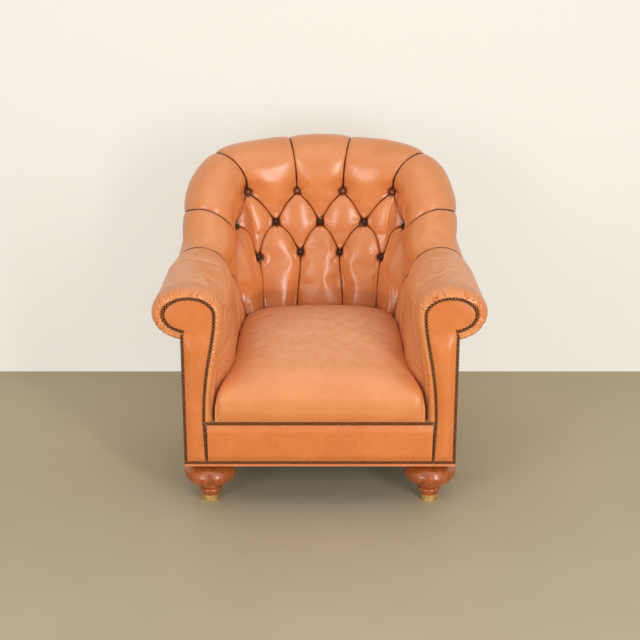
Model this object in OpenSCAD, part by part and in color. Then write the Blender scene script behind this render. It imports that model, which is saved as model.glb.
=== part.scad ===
// Tufted club chair: hardwood frame, zigzag springs, foam, tan leather covers, turned and tapered feet.
// The front of the chair is at -Y. Left and right are as seen from the front.

/* [Overall] */
// Width of the base across the front posts
base_w = 786; // [760:1:810]
// Height of the crest of the back
back_h = 944; // [920:1:970]
// Height of the arm rolls
arm_h = 676; // [655:1:695]
// Height of the feet, up to the dust cover under the frame
foot_h = 137; // [128:0.5:146]
// Depth from the front face to the middle of the crest roll
crest_y = 765; // [745:1:785]
// Depth from the front face to the foot of the outside back
base_d = 738; // [725:1:750]

/* [Seat] */
// Width of the seat at its front edge
seat_w = 614; // [598:1:626]
// Depth of the seat from the front face to the tuck of the back
seat_d = 575; // [560:1:590]
// Height of the middle of the crowned seat
seat_h = 456; // [445:1:470]
// Height of the seat's front edge
seat_front_h = 368; // [355:1:380]
// Height of the seat where it meets the inside back
seat_back_h = 430; // [420:1:438]
// Depth of the seat cover's drawn-in sides
skirt = 45; // [35:1:48]
// Clearance between the seat and the arms and back
seat_gap = 1.5; // [1:0.1:2.4]

/* [Rolls] */
// Width of an arm roll at its front
arm_roll_w = 196; // [188:1:204]
// Width of an arm roll where it meets the back
arm_roll_rear_w = 160; // [154:1:166]
// Thickness of an arm roll from top to underside
arm_roll_t = 152; // [146:1:158]
// Width of the crest roll from front to back
crest_roll_w = 170; // [164:1:178]
// Thickness of the crest roll from top to underside
crest_roll_t = 152; // [146:1:158]
// Inset of an arm roll's centre from the side of the base
arm_inset = 24; // [20:1:28]
// Height that the wings' tops climb from the arms to the middle of the crest, less the crest's own arch
wing_rise = 232; // [224:1:240]

/* [Tufting] */
// Depth to which a pleat is drawn in
pleat_depth = 11; // [6:1:14]
// Depth to which a button is drawn in
button_depth = 24; // [18:1:28]
// Diameter of a covered button
button_d = 19; // [16:0.5:22]
// Height of a button's dome
button_t = 8; // [6:0.5:10]
// Depth to which the leather is drawn in where the arms meet the back
crease_depth = 10; // [6:1:14]

/* [Leather and foam] */
// Thickness of the leather, with its backing
leather_t = 2.5; // [1.5:0.1:2.8]
// Clearance between a cover and what it covers
skin_gap = 0.3; // [0.2:0.05:0.5]
// Depth of the foam's rear face below the covers
foam_t = 44; // [38:1:46]
// Extra depth of the back's foam at the seat
lumbar_t = 26; // [20:1:28]
// Width of the stuffed border round a scroll panel
scroll_pad = 22; // [20:1:26]
// Length over which the arm's stuffing is rounded at the front
scroll_round = 35; // [30:1:40]
// Slant of a scroll panel's inner edge between the seat and the base
post_slant = 5; // [0:1:8]

/* [Frame] */
// Thickness of the seat rails
rail_t = 28; // [24:1:30]
// Height of the seat rails
rail_h = 136; // [128:1:140]
// Thickness of the scroll-shaped front posts
post_t = 25; // [22:1:27]
// Width of the arm, wing and crest rails
bar_w = 44; // [38:1:46]
// Thickness of the arm, wing and crest rails
bar_t = 26; // [22:1:28]
// Thickness of the tuck rails
tuck_t = 22; // [18:1:24]
// Height of the tuck rails
tuck_h = 28; // [24:1:30]
// Thickness of the corner blocks
block_t = 32; // [28:1:40]
// Length of a front corner block's legs
block_leg = 122; // [110:1:128]
// Thickness of the dust cover
dust_t = 1.2; // [0.8:0.1:1.6]
// Diameter of the corner block screws
screw_d = 4.5; // [4:0.5:5]

/* [Springs and webbing] */
// Diameter of the spring wire
wire_d = 3.8; // [3:0.1:4.2]
// Radius of a bend in the zigzag springs
bend_r = 13; // [12.5:0.1:13]
// Width of a zigzag spring
spring_w = 50; // [44:1:56]
// Distance between the zigzag springs
spring_pitch = 104; // [90:1:112]
// Thickness of the spring clips
clip_t = 1; // [0.8:0.1:1.2]
// Width of a webbing strap
strap_w = 50; // [40:1:54]
// Thickness of the webbing and the hessian
web_t = 1.6; // [1:0.1:2]

/* [Feet] */
// Inset of a front foot's centre from the side of the base
foot_side = 69; // [66:1:72]
// Distance of a front foot's centre behind the front face
foot_back = 68; // [64:1:72]
// Diameter of a front foot's bun
bun_d = 154; // [146:1:158]
// Diameter of the brass ferrule
ferrule_d = 52; // [50:1:54]
// Height of the brass ferrule
ferrule_h = 20; // [16:1:22]
// Thickness of the ferrule's wall
ferrule_t = 1.2; // [0.8:0.1:1.6]
// Width of a rear leg at its top
leg_top = 50; // [46:1:54]
// Width of a rear leg at its foot
leg_foot = 30; // [26:1:34]
// Distance that a rear leg rakes back
leg_rake = 34; // [24:1:40]
// Diameter of a rear leg's glide
glide_d = 22; // [18:1:24]
// Thickness of a rear leg's glide
glide_t = 4; // [3:0.5:5]
// Diameter of the bolts that hold the feet
bolt_d = 8; // [6:0.5:10]
// Length of the bolts that hold the feet
bolt_l = 72; // [66:1:76]

/* [Nails] */
// Diameter of a nail's domed head
nail_d = 10.6; // [9:0.1:10.9]
// Spacing of the nails
nail_pitch = 11; // [11:0.1:12]
// Height of a nail's dome
nail_t = 3.4; // [2.5:0.1:4]
// Diameter of a nail's shank
shank_d = 1.6; // [1.2:0.1:2]
// Length of a nail's shank
shank_l = 12; // [9:1:14]
// Distance of a row of nails from the edge that it holds
nail_edge = 4.5; // [4:0.1:6]
// Distance of the lowest nails above the bottom edge of the leather
hem_edge = 10.5; // [9:0.5:12]

/* [Hidden] */

leather = "#c9783f";
timber = "#c8a26a";
turned = "#7d3b1c";
foam = "#e8dfc6";
steel = "#9aa0a6";
brass = "#b08d4a";
bronze = "#4c3322";
cloth = "#1f1d1b";
jute = "#a98a5c";

half = base_w / 2;
arm_x = half - arm_inset;
arm_z = arm_h - arm_roll_t / 2;
crest_z = back_h - crest_roll_t / 2;
rail_z = foot_h + dust_t;
rail_top = rail_z + rail_h;
seam_z = rail_top + 1;
tuck_drop = 62;
tuck_z = seat_back_h - tuck_drop;
under = leather_t + skin_gap;
rail_o = under + 2 * skin_gap;
post_x = seat_w / 2 + scroll_pad + 2 * skin_gap;
foot_x = half - foot_side;
rear_foot = [235, 622];
front_y = -(crest_y + crest_roll_w / 2 + foot_back - bun_d / 2) / 2;
nail_z = rail_top - nail_edge;
base_nail_z = foot_h + hem_edge;
slim = arm_roll_rear_w / 2;
climb = wing_rise;

// The stuffed shell of the chair is swept along stations that run from the front of the right arm (0),
// past the joint of arm and back (about 4) and the middle of the back (8), to the front of the left arm.
// Each station has: the tuck beside the seat; the centre of the roll; the roll's half width, its half
// thickness and the angle at which its underside is tacked; and the foot of the outside panel.
last = 16;
mid = 8;
stations = [
    [[seat_w / 2, 0, seam_z], [arm_x, 0, arm_z], [arm_roll_w / 2, arm_roll_t / 2, 76], [half, 0]],
    [[seat_w / 2 - 45, 150, seam_z + 35], [arm_x - 2, 150, arm_z],
        [arm_roll_w / 2, arm_roll_t / 2, 76], [half - 9, 150]],
    [[seat_w / 2 - 49, 290, seam_z + 65], [arm_x - 6, 290, arm_z],
        [arm_roll_w / 2 + 2, arm_roll_t / 2, 76], [half - 20, 290]],
    [[seat_w / 2 - 57, 395, tuck_z - 10], [arm_x - 8, 420, arm_z + 0.02 * climb],
        [slim + 6, arm_roll_t / 2, 76], [half - 30, 420]],
    [[seat_w / 2 - 67, 450, tuck_z - 5], [arm_x - 20, 510, arm_z + 0.22 * climb],
        [slim, arm_roll_t / 2 + 2, 74], [half - 38, 520]],
    [[seat_w / 2 - 92, seat_d - 65, tuck_z], [arm_x - 24, 610, arm_z + 0.68 * climb],
        [slim + 1, arm_roll_t / 2 + 4, 70], [half - 53, base_d - 118]],
    [[seat_w / 2 - 142, seat_d - 25, tuck_z], [arm_x - 76, crest_y - 70, arm_z + 1.02 * climb],
        [slim + 3, crest_roll_t / 2 + 2, 66], [half - 103, base_d - 48]],
    [[seat_w / 2 - 222, seat_d - 5, tuck_z], [arm_x - 219, crest_y - 15, crest_z - 8],
        [crest_roll_w / 2, crest_roll_t / 2, 62], [half - 233, base_d - 10]],
    [[0, seat_d, tuck_z], [0, crest_y, crest_z], [crest_roll_w / 2, crest_roll_t / 2, 60], [0, base_d]]
];

function unit(v) = v / norm(v);
function flip(p) = concat([-p[0]], [for (i = [1:len(p) - 1]) p[i]]);
function in_front(p) = [for (i = [0:len(p) - 1]) i == 1 ? -p[i] : p[i]];
function station(i, k) =
    i < 0 ? (k == 2 ? station(1, k) : in_front(station(1, k)))
    : i > last ? (k == 2 ? station(last - 1, k) : in_front(station(last - 1, k)))
    : i <= mid ? stations[i][k]
    : k == 2 ? stations[last - i][k]
    : flip(stations[last - i][k]);
function spline(a, b, c, d, t) =
    0.5 * (2 * b + (c - a) * t + (2 * a - 5 * b + 4 * c - d) * t * t + (3 * b - a - 3 * c + d) * t * t * t);
function slope(a, b, c, d, t) =
    0.5 * ((c - a) + 2 * (2 * a - 5 * b + 4 * c - d) * t + 3 * (3 * b - a - 3 * c + d) * t * t);
function along(u, k) =
    let (i = min(floor(u), last - 1), t = u - i)
    spline(station(i - 1, k), station(i, k), station(i + 1, k), station(i + 2, k), t);
function heading(u) =
    let (i = min(floor(u), last - 1), t = u - i)
    unit(slope(station(i - 1, 1), station(i, 1), station(i + 1, 1), station(i + 2, 1), t));
function outward(u) = let (t = heading(u)) unit([t[1], -t[0], 0]);
function upward(u) = cross(outward(u), heading(u));
function bezier(a, b, c, d, t) =
    pow(1 - t, 3) * a + 3 * pow(1 - t, 2) * t * b + 3 * (1 - t) * t * t * c + pow(t, 3) * d;
// How far the inside face leans with its own chord: 0 on the arms, 1 on the back.
function lean(u) = max(0, min(1, (min(u, last - u) - 3.5) / 2));
function tuck(u, o) =
    let (b = along(u, 0), c = along(u, 1)) b + o * unit([c[0] - b[0], c[1] - b[1], 0]);

// A point of the stuffed shell: v runs 0 to 1 up the inside face and 1 to 2 round the roll, o is its depth.
function skin(u, v, o) =
    let (r = along(u, 2), c = along(u, 1))
    v > 1
        ? let (angle = 180 - (v - 1) * (180 + r[2]))
            c + (r[0] - o) * cos(angle) * outward(u) + (r[1] - o) * sin(angle) * upward(u)
        : let (a = tuck(u, o), d = c - (r[0] - o) * outward(u), run = norm(d - a), k = lean(u),
                rise = unit((1 - k) * [0, 0, 1] + k * unit(d - a)))
            bezier(a, a + 0.5 * run * rise, d - 0.26 * run * upward(u), d, v);
// A point of the outside panels: w runs 0 to 1 from the underside of the roll to the bottom edge.
function panel(u, w, o) =
    let (top = skin(u, 2, 0) - [0, 0, 1], foot = along(u, 3), low = [foot[0], foot[1], foot_h])
    top + w * (low - top) - o * outward(u);

// The arms meet the back along a crease that starts at the seat and comes forward over the roll.
function crease(v) = 5 - 2 * min(v, 1);
crease_gap = 0.004;
button_stem = 5.8;
heights = concat([0, 0.18, 0.35, 0.45, 0.54, 0.66, 0.77, 0.88], [for (i = [0:10]) 1 + i / 10]);

// Tufting columns, a quarter of a diamond apart, in stations from the middle of the back.
columns = [0, 0.28, 0.56, 0.86, 1.16, 1.47, 1.78, 2.3, 2.9];
outer = 8;
edge = 12;
function back_u(k, v) =
    let (n = abs(k), side = mid - crease(v) - crease_gap)
    mid + sign(k) * (n <= outer ? columns[n] : columns[outer] + (side - columns[outer]) * (n - outer) / 4);
// The rows of buttons climb a little towards the wings.
function back_v(k, v) =
    let (n = abs(k), fan = n <= outer ? pow(columns[n], 2) : 9 * (edge - n) / 4)
    v + 0.2 * max(0, v - 0.35) * max(0, 1 - v) * fan;
function is_button(k, j) =
    ((j == 2 || j == 6) && abs(k) % 4 == 2 && abs(k) <= 6)
    || (j == 4 && abs(k) % 4 == 0 && abs(k) <= outer);
function tufting(k, j) =
    let (n = abs(k))
    is_button(k, j) ? button_depth
    : n == edge ? crease_depth
    : (j == 3 || j == 5) && n % 2 == 1 && n < outer ? pleat_depth
    : n <= 6 && n % 4 == 2 && (j < 2 || (j > 6 && j < 12)) ? 0.7 * pleat_depth
    : n > outer && j == 4 ? 0.7 * pleat_depth
    : n == edge - 1 ? 0.3 * crease_depth
    : 0;
function back_grid(o) =
    [for (k = [-edge:edge]) [for (j = [0:len(heights) - 1])
        skin(back_u(k, heights[j]), back_v(k, heights[j]), o + tufting(k, j))]];

// The foam thins out under the rolls, where the posts stand.
function foam_depth(v) = foam_t - 52 * max(0, v - 1.5);

// An arm's stuffing is rounded over to the scroll panel at the front and drawn in at the crease.
round_u = scroll_round / 150;
round_steps = [90, 67.5, 45, 22.5];
arm_steps = [0, 0.12, 0.25, 0.38, 0.52, 0.66, 0.8, 0.9, 0.96, 1];
function rounded(a, v, o) =
    skin(round_u * (1 - sin(a)) + o * sin(a) / 150, v, scroll_pad * (1 - cos(a)) + o * cos(a));
function arm_line(q, v, o) =
    skin(round_u + (crease(v) - crease_gap - round_u) * q, v,
        o + (q == 1 ? crease_depth : q > 0.95 ? 0.3 * crease_depth : 0));
function arm_grid(o, rounds) =
    concat([for (a = rounds) [for (v = heights) rounded(a, v, o)]],
        [for (q = arm_steps) [for (v = heights) arm_line(q, v, o)]]);
function arm_core(rounds) =
    concat([for (a = rounds) [for (v = heights)
            skin(round_u * (1 - sin(a)) + under * sin(a) / 150, v, scroll_pad - 2 * skin_gap)]],
        [for (q = arm_steps) [for (v = heights)
            skin(round_u + (crease(v) - crease_gap - round_u) * q, v,
                q == 0 ? scroll_pad - 2 * skin_gap : foam_depth(v))]]);

// The seat is a patch between the arms and the back: p runs 1 to -1 across it and q runs 0 to 1 backwards.
corner_u = 4.75;
front_profile = [[0, 0], [-3, 0.27], [-4, 0.55], [-2, 0.78], [5, 0.94], [18, 1.02]];
brim = [[skirt, 22, 0], [14, 5, 3], [4, 6, 7], [0, 14, 14]];
function seat_side(q) = skin(corner_u * q, 0.21 - 0.13 * q, -seat_gap);
function seat_rear(p) = skin(mid - p * (mid - corner_u), 0.08, -seat_gap);
function seat_plan(p, q) =
    let (s = seat_side(q), s1 = seat_side(1), r = seat_rear(p))
    [p * s[0] + q * (r[0] - p * s1[0]), s[1] + q * (r[1] - s1[1])];
function seat_edge(q) = seat_front_h + (seat_back_h - seat_front_h) * pow(q, 0.85);
function seat_crown(p, q) =
    q <= 0 ? 0
    : (seat_h - seat_edge(0.45)) * (1 - pow(abs(p), 2.6)) * pow(max(0, sin(180 * pow(q, 0.62))), 0.8);
seat_cols = 22;
seat_rows = 20;
fronts = len(front_profile);
function seat_p(i, w) =
    let (e = min(i, seat_cols - i), s = i <= seat_cols / 2 ? 1 : -1, half_w = seat_w / 2)
    e < 4 ? s * (1 - (brim[e][2] + w * (brim[e][1] - brim[e][2])) / half_w)
    : (1 - brim[3][1] / half_w) * (1 - 2 * (i - 3) / (seat_cols - 6));
function seat_q(j) =
    let (e = seat_rows - j, first = 0.07, end = 1 - brim[3][1] / seat_d)
    e < 4 ? 1 - brim[e][1] / seat_d
    : first + (end - first) * (j - fronts) / (seat_rows - 3 - fronts);
function seat_point(i, j) =
    let (w = max(0, min(1, (j - 3) / 3)), e = min(i, seat_cols - i), p = seat_p(i, w),
        side_drop = e < 4 ? brim[e][0] * w : 0, rear_drop = seat_rows - j < 4 ? brim[seat_rows - j][0] : 0)
    j < fronts
        ? let (f = front_profile[j], z = seam_z + f[1] * (seat_front_h - seam_z))
            [seat_plan(p, 0)[0], f[0], z - side_drop]
        : let (q = seat_q(j), plan = seat_plan(p, q))
            [plan[0], plan[1], seat_edge(q) + seat_crown(p, q) - max(side_drop, rear_drop)];
function seat_grid() = [for (i = [0:seat_cols]) [for (j = [0:seat_rows]) seat_point(i, j)]];
// The same grid sunk by d along its own normals.
function sunk(grid, d) =
    let (n = len(grid) - 1, m = len(grid[0]) - 1)
    [for (i = [0:n]) [for (j = [0:m])
        let (a = grid[min(i + 1, n)][j] - grid[max(i - 1, 0)][j],
            b = grid[i][min(j + 1, m)] - grid[i][max(j - 1, 0)])
        grid[i][j] - d * unit(cross(b, a))]];

// A solid between an upper and a lower grid of points, each seen from outside with rows running to the left.
module between(upper, lower) {
    rows = len(upper);
    cols = len(upper[0]);
    n = rows * cols;
    points = concat([for (row = upper, p = row) p], [for (row = lower, p = row) p]);
    sheets = [for (i = [0:rows - 2], j = [0:cols - 2])
        let (a = i * cols + j, b = a + 1, c = a + cols + 1, d = a + cols)
        each (((i + j) % 2 == 0)
            ? [[a, c, b], [a, d, c], [n + a, n + b, n + c], [n + a, n + c, n + d]]
            : [[a, d, b], [b, d, c], [n + a, n + b, n + d], [n + b, n + c, n + d]])];
    ends = [for (i = [0:rows - 2])
        let (a = i * cols, d = a + cols, b = a + cols - 1, c = d + cols - 1)
        each [[a, n + a, d], [d, n + a, n + d], [b, c, n + b], [c, n + c, n + b]]];
    sides = [for (j = [0:cols - 2])
        let (a = j, b = j + 1, d = (rows - 1) * cols + j, c = d + 1)
        each [[a, b, n + a], [b, n + b, n + a], [d, n + d, c], [c, n + d, n + c]]];
    polyhedron(points = points, faces = concat(sheets, ends, sides), convexity = 8);
}

module from_front() {
    translate([0, front_y, 0]) children();
}

module left() {
    mirror([1, 0, 0]) children();
}

module pair() {
    children();
    left() children();
}

// A rail of the arms and crest: it follows the centre of the roll.
module roll_rail(us) {
    function corner(u, s, h) = along(u, 1) + s * bar_w / 2 * outward(u) + h * bar_t / 2 * upward(u);
    between([for (u = us) [corner(u, -1, 1), corner(u, 1, 1)]],
        [for (u = us) [corner(u, -1, -1), corner(u, 1, -1)]]);
}

// A rail of the seat: it follows the inside of the outside covers.
function inside(u, o, z) = let (g = along(u, 3), w = outward(u)) [g[0] - o * w[0], g[1] - o * w[1], z];
module base_rail(us) {
    between([for (u = us) [inside(u, rail_o, rail_top), inside(u, rail_o, rail_z)]],
        [for (u = us) [inside(u, rail_o + rail_t, rail_top), inside(u, rail_o + rail_t, rail_z)]]);
}

// A post that stands on a seat rail and carries the rail above it.
module post(from, to) {
    function high(u, s) = along(u, 1) + s * rail_t / 2 * outward(u) - (bar_t / 2 + 0.8) * upward(u);
    us = steps(from, to, 4);
    between([for (u = us) [high(u, 1), inside(u, rail_o, rail_top)]],
        [for (u = us) [high(u, -1), inside(u, rail_o + rail_t, rail_top)]]);
}

// A straight bar from p to q, with width w across it and height h.
module bar(p, q, w, h) {
    d = q - p;
    translate(p) rotate([0, -atan2(d[2], norm([d[0], d[1]])), atan2(d[1], d[0])])
        translate([0, -w / 2, -h / 2]) cube([norm(d), w, h]);
}

module front_rail() {
    color(timber) from_front() difference() {
        translate([-post_x, under, rail_z]) cube([2 * post_x, rail_t, rail_h]);
        block_screws();
    }
}

side_from = (under + post_t + 0.8) / 150;
rear_from = 6.35;
function steps(from, to, n) = [for (i = [0:n]) from + (to - from) * i / n];
side_us = steps(side_from, rear_from, 10);
rear_us = steps(rear_from, last - rear_from, 8);
module side_rail_right() {
    color(timber) from_front() difference() {
        base_rail(side_us);
        block_screws();
    }
}
module side_rail_left() {
    left() side_rail_right();
}

module rear_rail() {
    color(timber) from_front() difference() {
        base_rail(rear_us);
        block_screws();
    }
}

block_x = half - under - rail_t - 2;
block_y = under + rail_t;
rear_rim = [for (u = [side_us[8], side_us[9], side_us[10], rear_us[1], rear_us[2]])
    let (p = inside(u, rail_o + rail_t, 0)) [p[0], p[1]]];
module block_outlines() {
    polygon([[block_x, block_y], [block_x - block_leg, block_y], [block_x - 10, block_y + block_leg]]);
    polygon(concat(rear_rim, [[rear_foot[0] - 62, rear_foot[1] - 14], [rear_foot[0] - 14, rear_foot[1] - 58]]));
}
module corner_blocks() {
    color(timber) from_front() difference() {
        pair() translate([0, 0, rail_z]) linear_extrude(block_t) block_outlines();
        block_screws();
        bolts();
    }
}

screw_l = 78;
module screw(p, turn) {
    translate([p[0], p[1], rail_z + block_t / 2]) rotate([0, 90, turn]) {
        cylinder(d = screw_d, h = screw_l, $fn = 24);
        translate([0, 0, -3]) cylinder(d = 2 * screw_d, h = 3, $fn = 24);
    }
}
module block_screws() {
    pair() {
        screw([block_x - block_leg + 50, block_y + 58], -90);
        screw([block_x - 61, block_y + block_leg - 46], 0);
        screw([rear_foot[0] - 44, rear_foot[1] + 4], 68);
        screw([rear_foot[0] + 12, rear_foot[1] - 36], 18);
    }
}
module corner_block_screws() {
    color(steel) from_front() block_screws();
}

// The outline of a scroll-shaped panel or post, sunk by o from the edge of the arm's stuffing.
function scroll(o, low_z, slant, right_x) =
    concat([[seat_w / 2 + o - slant, low_z]], [for (v = heights) let (p = skin(0, v, o)) [p[0], p[2]]],
        [[right_x, skin(0, 2, 0)[2]], [right_x, low_z]]);
module front_post_right() {
    color(timber) from_front() translate([0, under + post_t, 0]) rotate([90, 0, 0])
        linear_extrude(post_t) polygon(scroll(scroll_pad + 2 * skin_gap, rail_z, 0, half - under - 0.8));
}
module front_post_left() {
    left() front_post_right();
}

module arm_rail_right() {
    color(timber) from_front() roll_rail(steps(side_from, 4.6, 18));
}
module arm_rail_left() {
    left() arm_rail_right();
}

tuck_rail_z = tuck_z - 8;
tuck_rail_out = 3;
tuck_rail_in = 31;
wing_y = 494;
module arm_tuck_rail_right() {
    color(timber) from_front()
        bar([arm_x + tuck_rail_out, under + post_t + 0.8, tuck_rail_z],
            [arm_x - tuck_rail_in, wing_y, tuck_rail_z], tuck_t, tuck_h);
}
module arm_tuck_rail_left() {
    left() arm_tuck_rail_right();
}

module wing_post_right() {
    color(timber) from_front() post(3.86, 4.4);
}
module wing_post_left() {
    left() wing_post_right();
}
module rear_post_right() {
    color(timber) from_front() post(6.05, 6.55);
}
module rear_post_left() {
    left() rear_post_right();
}

module crest_rail() {
    color(timber) from_front() roll_rail(steps(4.6, last - 4.6, 32));
}

tuck_rail_y = seat_d + foam_t + lumbar_t + tuck_t / 2 + 1;
tuck_rail_half = 248;
module back_tuck_rail() {
    color(timber) from_front() translate([-tuck_rail_half, tuck_rail_y - tuck_t / 2, tuck_rail_z - tuck_h / 2])
        cube([2 * tuck_rail_half, tuck_t, tuck_h]);
}

spring_z = rail_top + clip_t + wire_d / 2;
spring_y = under + 14;
bends = 25;
module zigzag() {
    reach = spring_w / 2 - bend_r;
    for (i = [0:bends])
        translate([-reach, i * 2 * bend_r, 0]) rotate([0, 90, 0]) cylinder(d = wire_d, h = 2 * reach, $fn = 16);
    for (i = [0:bends - 1]) {
        side = i % 2 == 0 ? 1 : -1;
        translate([side * reach, (2 * i + 1) * bend_r, 0]) rotate([0, 0, -90 * side])
            rotate_extrude(angle = 180, $fn = 32) translate([bend_r, 0]) circle(d = wire_d, $fn = 16);
    }
}
module seat_springs() {
    color(steel) from_front() for (i = [-2:2]) translate([i * spring_pitch, spring_y, spring_z]) zigzag();
}

module clip() {
    wrap = wire_d + clip_t;
    rotate([90, 0, 90]) translate([0, 0, -9]) linear_extrude(18) polygon([
        [-12, 0], [wrap, 0], [wrap, wire_d + 2 * clip_t], [-6, wire_d + 2 * clip_t], [-6, wire_d + clip_t],
        [wire_d, wire_d + clip_t], [wire_d, clip_t], [-12, clip_t]]);
}
module spring_clips() {
    reach_y = bends * 2 * bend_r;
    clip_in = wire_d / 2 - 0.05;
    color(steel) from_front() for (i = [-2:2]) {
        translate([i * spring_pitch, spring_y + clip_in, rail_top]) mirror([0, 1, 0]) clip();
        translate([i * spring_pitch, spring_y + reach_y - clip_in, rail_top]) clip();
    }
}

hessian_z = rail_top + 2 * clip_t + wire_d + 0.2;
module seat_hessian() {
    rim = [for (i = [0:8]) seat_plan(0.94, i / 8 * 0.97)];
    color(jute) from_front() translate([0, 0, hessian_z]) linear_extrude(web_t)
        polygon(concat([for (p = rim) [p[0], max(p[1], 12)]],
            [for (i = [8:-1:0]) let (p = rim[i]) [-p[0], max(p[1], 12)]]));
}

strap_pitch = 110;
module back_webbing() {
    color(jute) from_front() for (n = [-1.5:1.5]) {
        x = n * strap_pitch;
        c = along(mid - x / 150, 1);
        bar([x, tuck_rail_y - 6, tuck_rail_z + tuck_h / 2 + 0.3],
            [x, c[1] - 8, c[2] - bar_t / 2 - 2], strap_w, web_t);
    }
}

module seat_foam() {
    foam_z = hessian_z + web_t + 0.2;
    top = [for (row = sunk(seat_grid(), under)) [for (j = [2:seat_rows]) row[j]]];
    cols = len(top[0]) - 1;
    flat = [for (i = [0:seat_cols]) [for (j = [0:cols])
        let (p = seat_plan(0.93 * (1 - 2 * i / seat_cols), 0.02 + 0.91 * j / cols)) [p[0], p[1], foam_z]]];
    color(foam) from_front() between(top, flat);
}

module back_foam() {
    rear = [for (k = [-edge:edge]) [for (v = heights)
        skin(back_u(k, v), v, foam_depth(v) + lumbar_t * max(0, 1 - v) * (1 - max(0, abs(k) - outer) / 5))]];
    color(foam) from_front() between(back_grid(under), rear);
}

module arm_foam_right() {
    rounds = [45, 22.5];
    color(foam) from_front() between(arm_grid(under, rounds), arm_core(rounds));
}
module arm_foam_left() {
    left() arm_foam_right();
}

module seat_cover() {
    top = seat_grid();
    color(leather) from_front() between(top, sunk(top, leather_t));
}

module back_cover() {
    color(leather) from_front() between(back_grid(0), back_grid(leather_t));
}

module arm_cover_right() {
    color(leather) from_front() between(arm_grid(0, round_steps), arm_grid(leather_t, round_steps));
}
module arm_cover_left() {
    left() arm_cover_right();
}

module scroll_panel_right() {
    color(leather) from_front() translate([0, leather_t, 0]) rotate([90, 0, 0]) linear_extrude(leather_t)
        polygon(scroll(scroll_pad + skin_gap, foot_h, post_slant, half));
}
module scroll_panel_left() {
    left() scroll_panel_right();
}

panel_edge = seat_w / 2 + scroll_pad - post_slant;
module front_rail_cover() {
    color(leather) from_front() translate([-panel_edge, 0, foot_h])
        cube([2 * panel_edge, leather_t, rail_top - foot_h]);
}

module outside_cover(us) {
    ws = [0, 0.35, 0.7, 1];
    between([for (u = us) [for (w = ws) panel(u, w, 0)]],
        [for (u = us) [for (w = ws) panel(u, w, leather_t)]]);
}
panel_split = 5.6;
module outside_arm_cover_right() {
    color(leather) from_front() outside_cover(steps(under / 150, panel_split, 14));
}
module outside_arm_cover_left() {
    left() outside_arm_cover_right();
}
module outside_back_cover() {
    color(leather) from_front()
        outside_cover(steps(panel_split + crease_gap, last - panel_split - crease_gap, 14));
}

module dust_cover() {
    rim = [for (u = [0:0.5:last])
        let (g = along(u, 3), w = outward(u), o = under + 1) [g[0] - o * w[0], max(g[1] - o * w[1], o)]];
    color(cloth) from_front() difference() {
        translate([0, 0, foot_h]) linear_extrude(dust_t) polygon(rim);
        bolts();
    }
}

module button() {
    r = button_d / 2;
    rim = 2;
    dome = button_t - rim;
    dome_r = (r * r + dome * dome) / (2 * dome);
    rotate_extrude($fn = 48) {
        translate([0, rim]) intersection() {
            translate([0, dome - dome_r]) circle(dome_r, $fn = 96);
            square([r, dome]);
        }
        square([r, rim]);
        translate([0, -button_stem]) square([2, button_stem + 0.01]);
    }
}
module tuft_buttons() {
    color(turned) from_front() for (k = [-outer:outer], j = [2, 4, 6]) if (is_button(k, j)) {
        u = back_u(k, heights[j]);
        v = back_v(k, heights[j]);
        p = skin(u, v, button_depth - button_stem - 2.6);
        d = unit(cross(skin(u, v + 0.02, 0) - skin(u, v, 0), skin(u + 0.02, v, 0) - skin(u, v, 0)));
        translate(p) rotate([0, acos(d[2]), atan2(d[1], d[0])]) button();
    }
}

bolt_z = rail_z + block_t - 4 - bolt_l;
module bolts() {
    pair() {
        translate([foot_x, foot_back, bolt_z]) cylinder(d = bolt_d, h = bolt_l, $fn = 32);
        translate([rear_foot[0], rear_foot[1], bolt_z]) cylinder(d = bolt_d, h = bolt_l, $fn = 32);
    }
}
module foot_bolts() {
    color(steel) from_front() bolts();
}

// A bun foot: tip, bead and ring, bun, cove and plate.
module front_foot_right() {
    tip = ferrule_d / 2 - ferrule_t;
    bun = bun_d / 2;
    profile = concat([[0, ferrule_t], [tip, ferrule_t], [tip, ferrule_h], [tip + 1, ferrule_h]],
        [[30.5, 33], [33.5, 34.5], [34.5, 38], [33.5, 41.5], [31.5, 42.5], [31.5, 45]],
        [for (a = [-75:25:75]) [28 + 7 * cos(a), 52 + 7 * sin(a)]], [[31, 60.5]],
        [for (a = [-66:12:66]) [31 + (bun - 31) * cos(a), 93 + 34 * sin(a)]],
        [[45, 126.5], [42, 129], [42, 131], [42, foot_h], [0, foot_h]]);
    color(turned) from_front() difference() {
        translate([foot_x, foot_back, 0]) rotate_extrude($fn = 96) polygon(profile);
        bolts();
    }
}
module front_foot_left() {
    left() front_foot_right();
}

module ferrule_right() {
    r = ferrule_d / 2;
    color(brass) from_front() translate([foot_x, foot_back, 0]) rotate_extrude($fn = 96)
        polygon([[0, 0], [r - 1.5, 0], [r, 1.5], [r, ferrule_h], [r - ferrule_t, ferrule_h],
            [r - ferrule_t, ferrule_t], [0, ferrule_t]]);
}
module ferrule_left() {
    left() ferrule_right();
}

module rear_leg_right() {
    color(turned) from_front() difference() {
        translate([rear_foot[0], rear_foot[1], 0]) hull() {
            translate([-leg_top / 2, -leg_top / 2, foot_h - 1]) cube([leg_top, leg_top, 1]);
            translate([-leg_foot / 2, leg_rake - leg_foot / 2, glide_t]) cube([leg_foot, leg_foot, 1]);
        }
        bolts();
        glides();
    }
}
module rear_leg_left() {
    left() rear_leg_right();
}

module glides() {
    pair() translate([rear_foot[0], rear_foot[1] + leg_rake, 0]) {
        cylinder(d = glide_d, h = glide_t, $fn = 48);
        cylinder(d = 3, h = glide_t + 14, $fn = 24);
    }
}
module rear_glides() {
    color(steel) from_front() glides();
}

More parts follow.
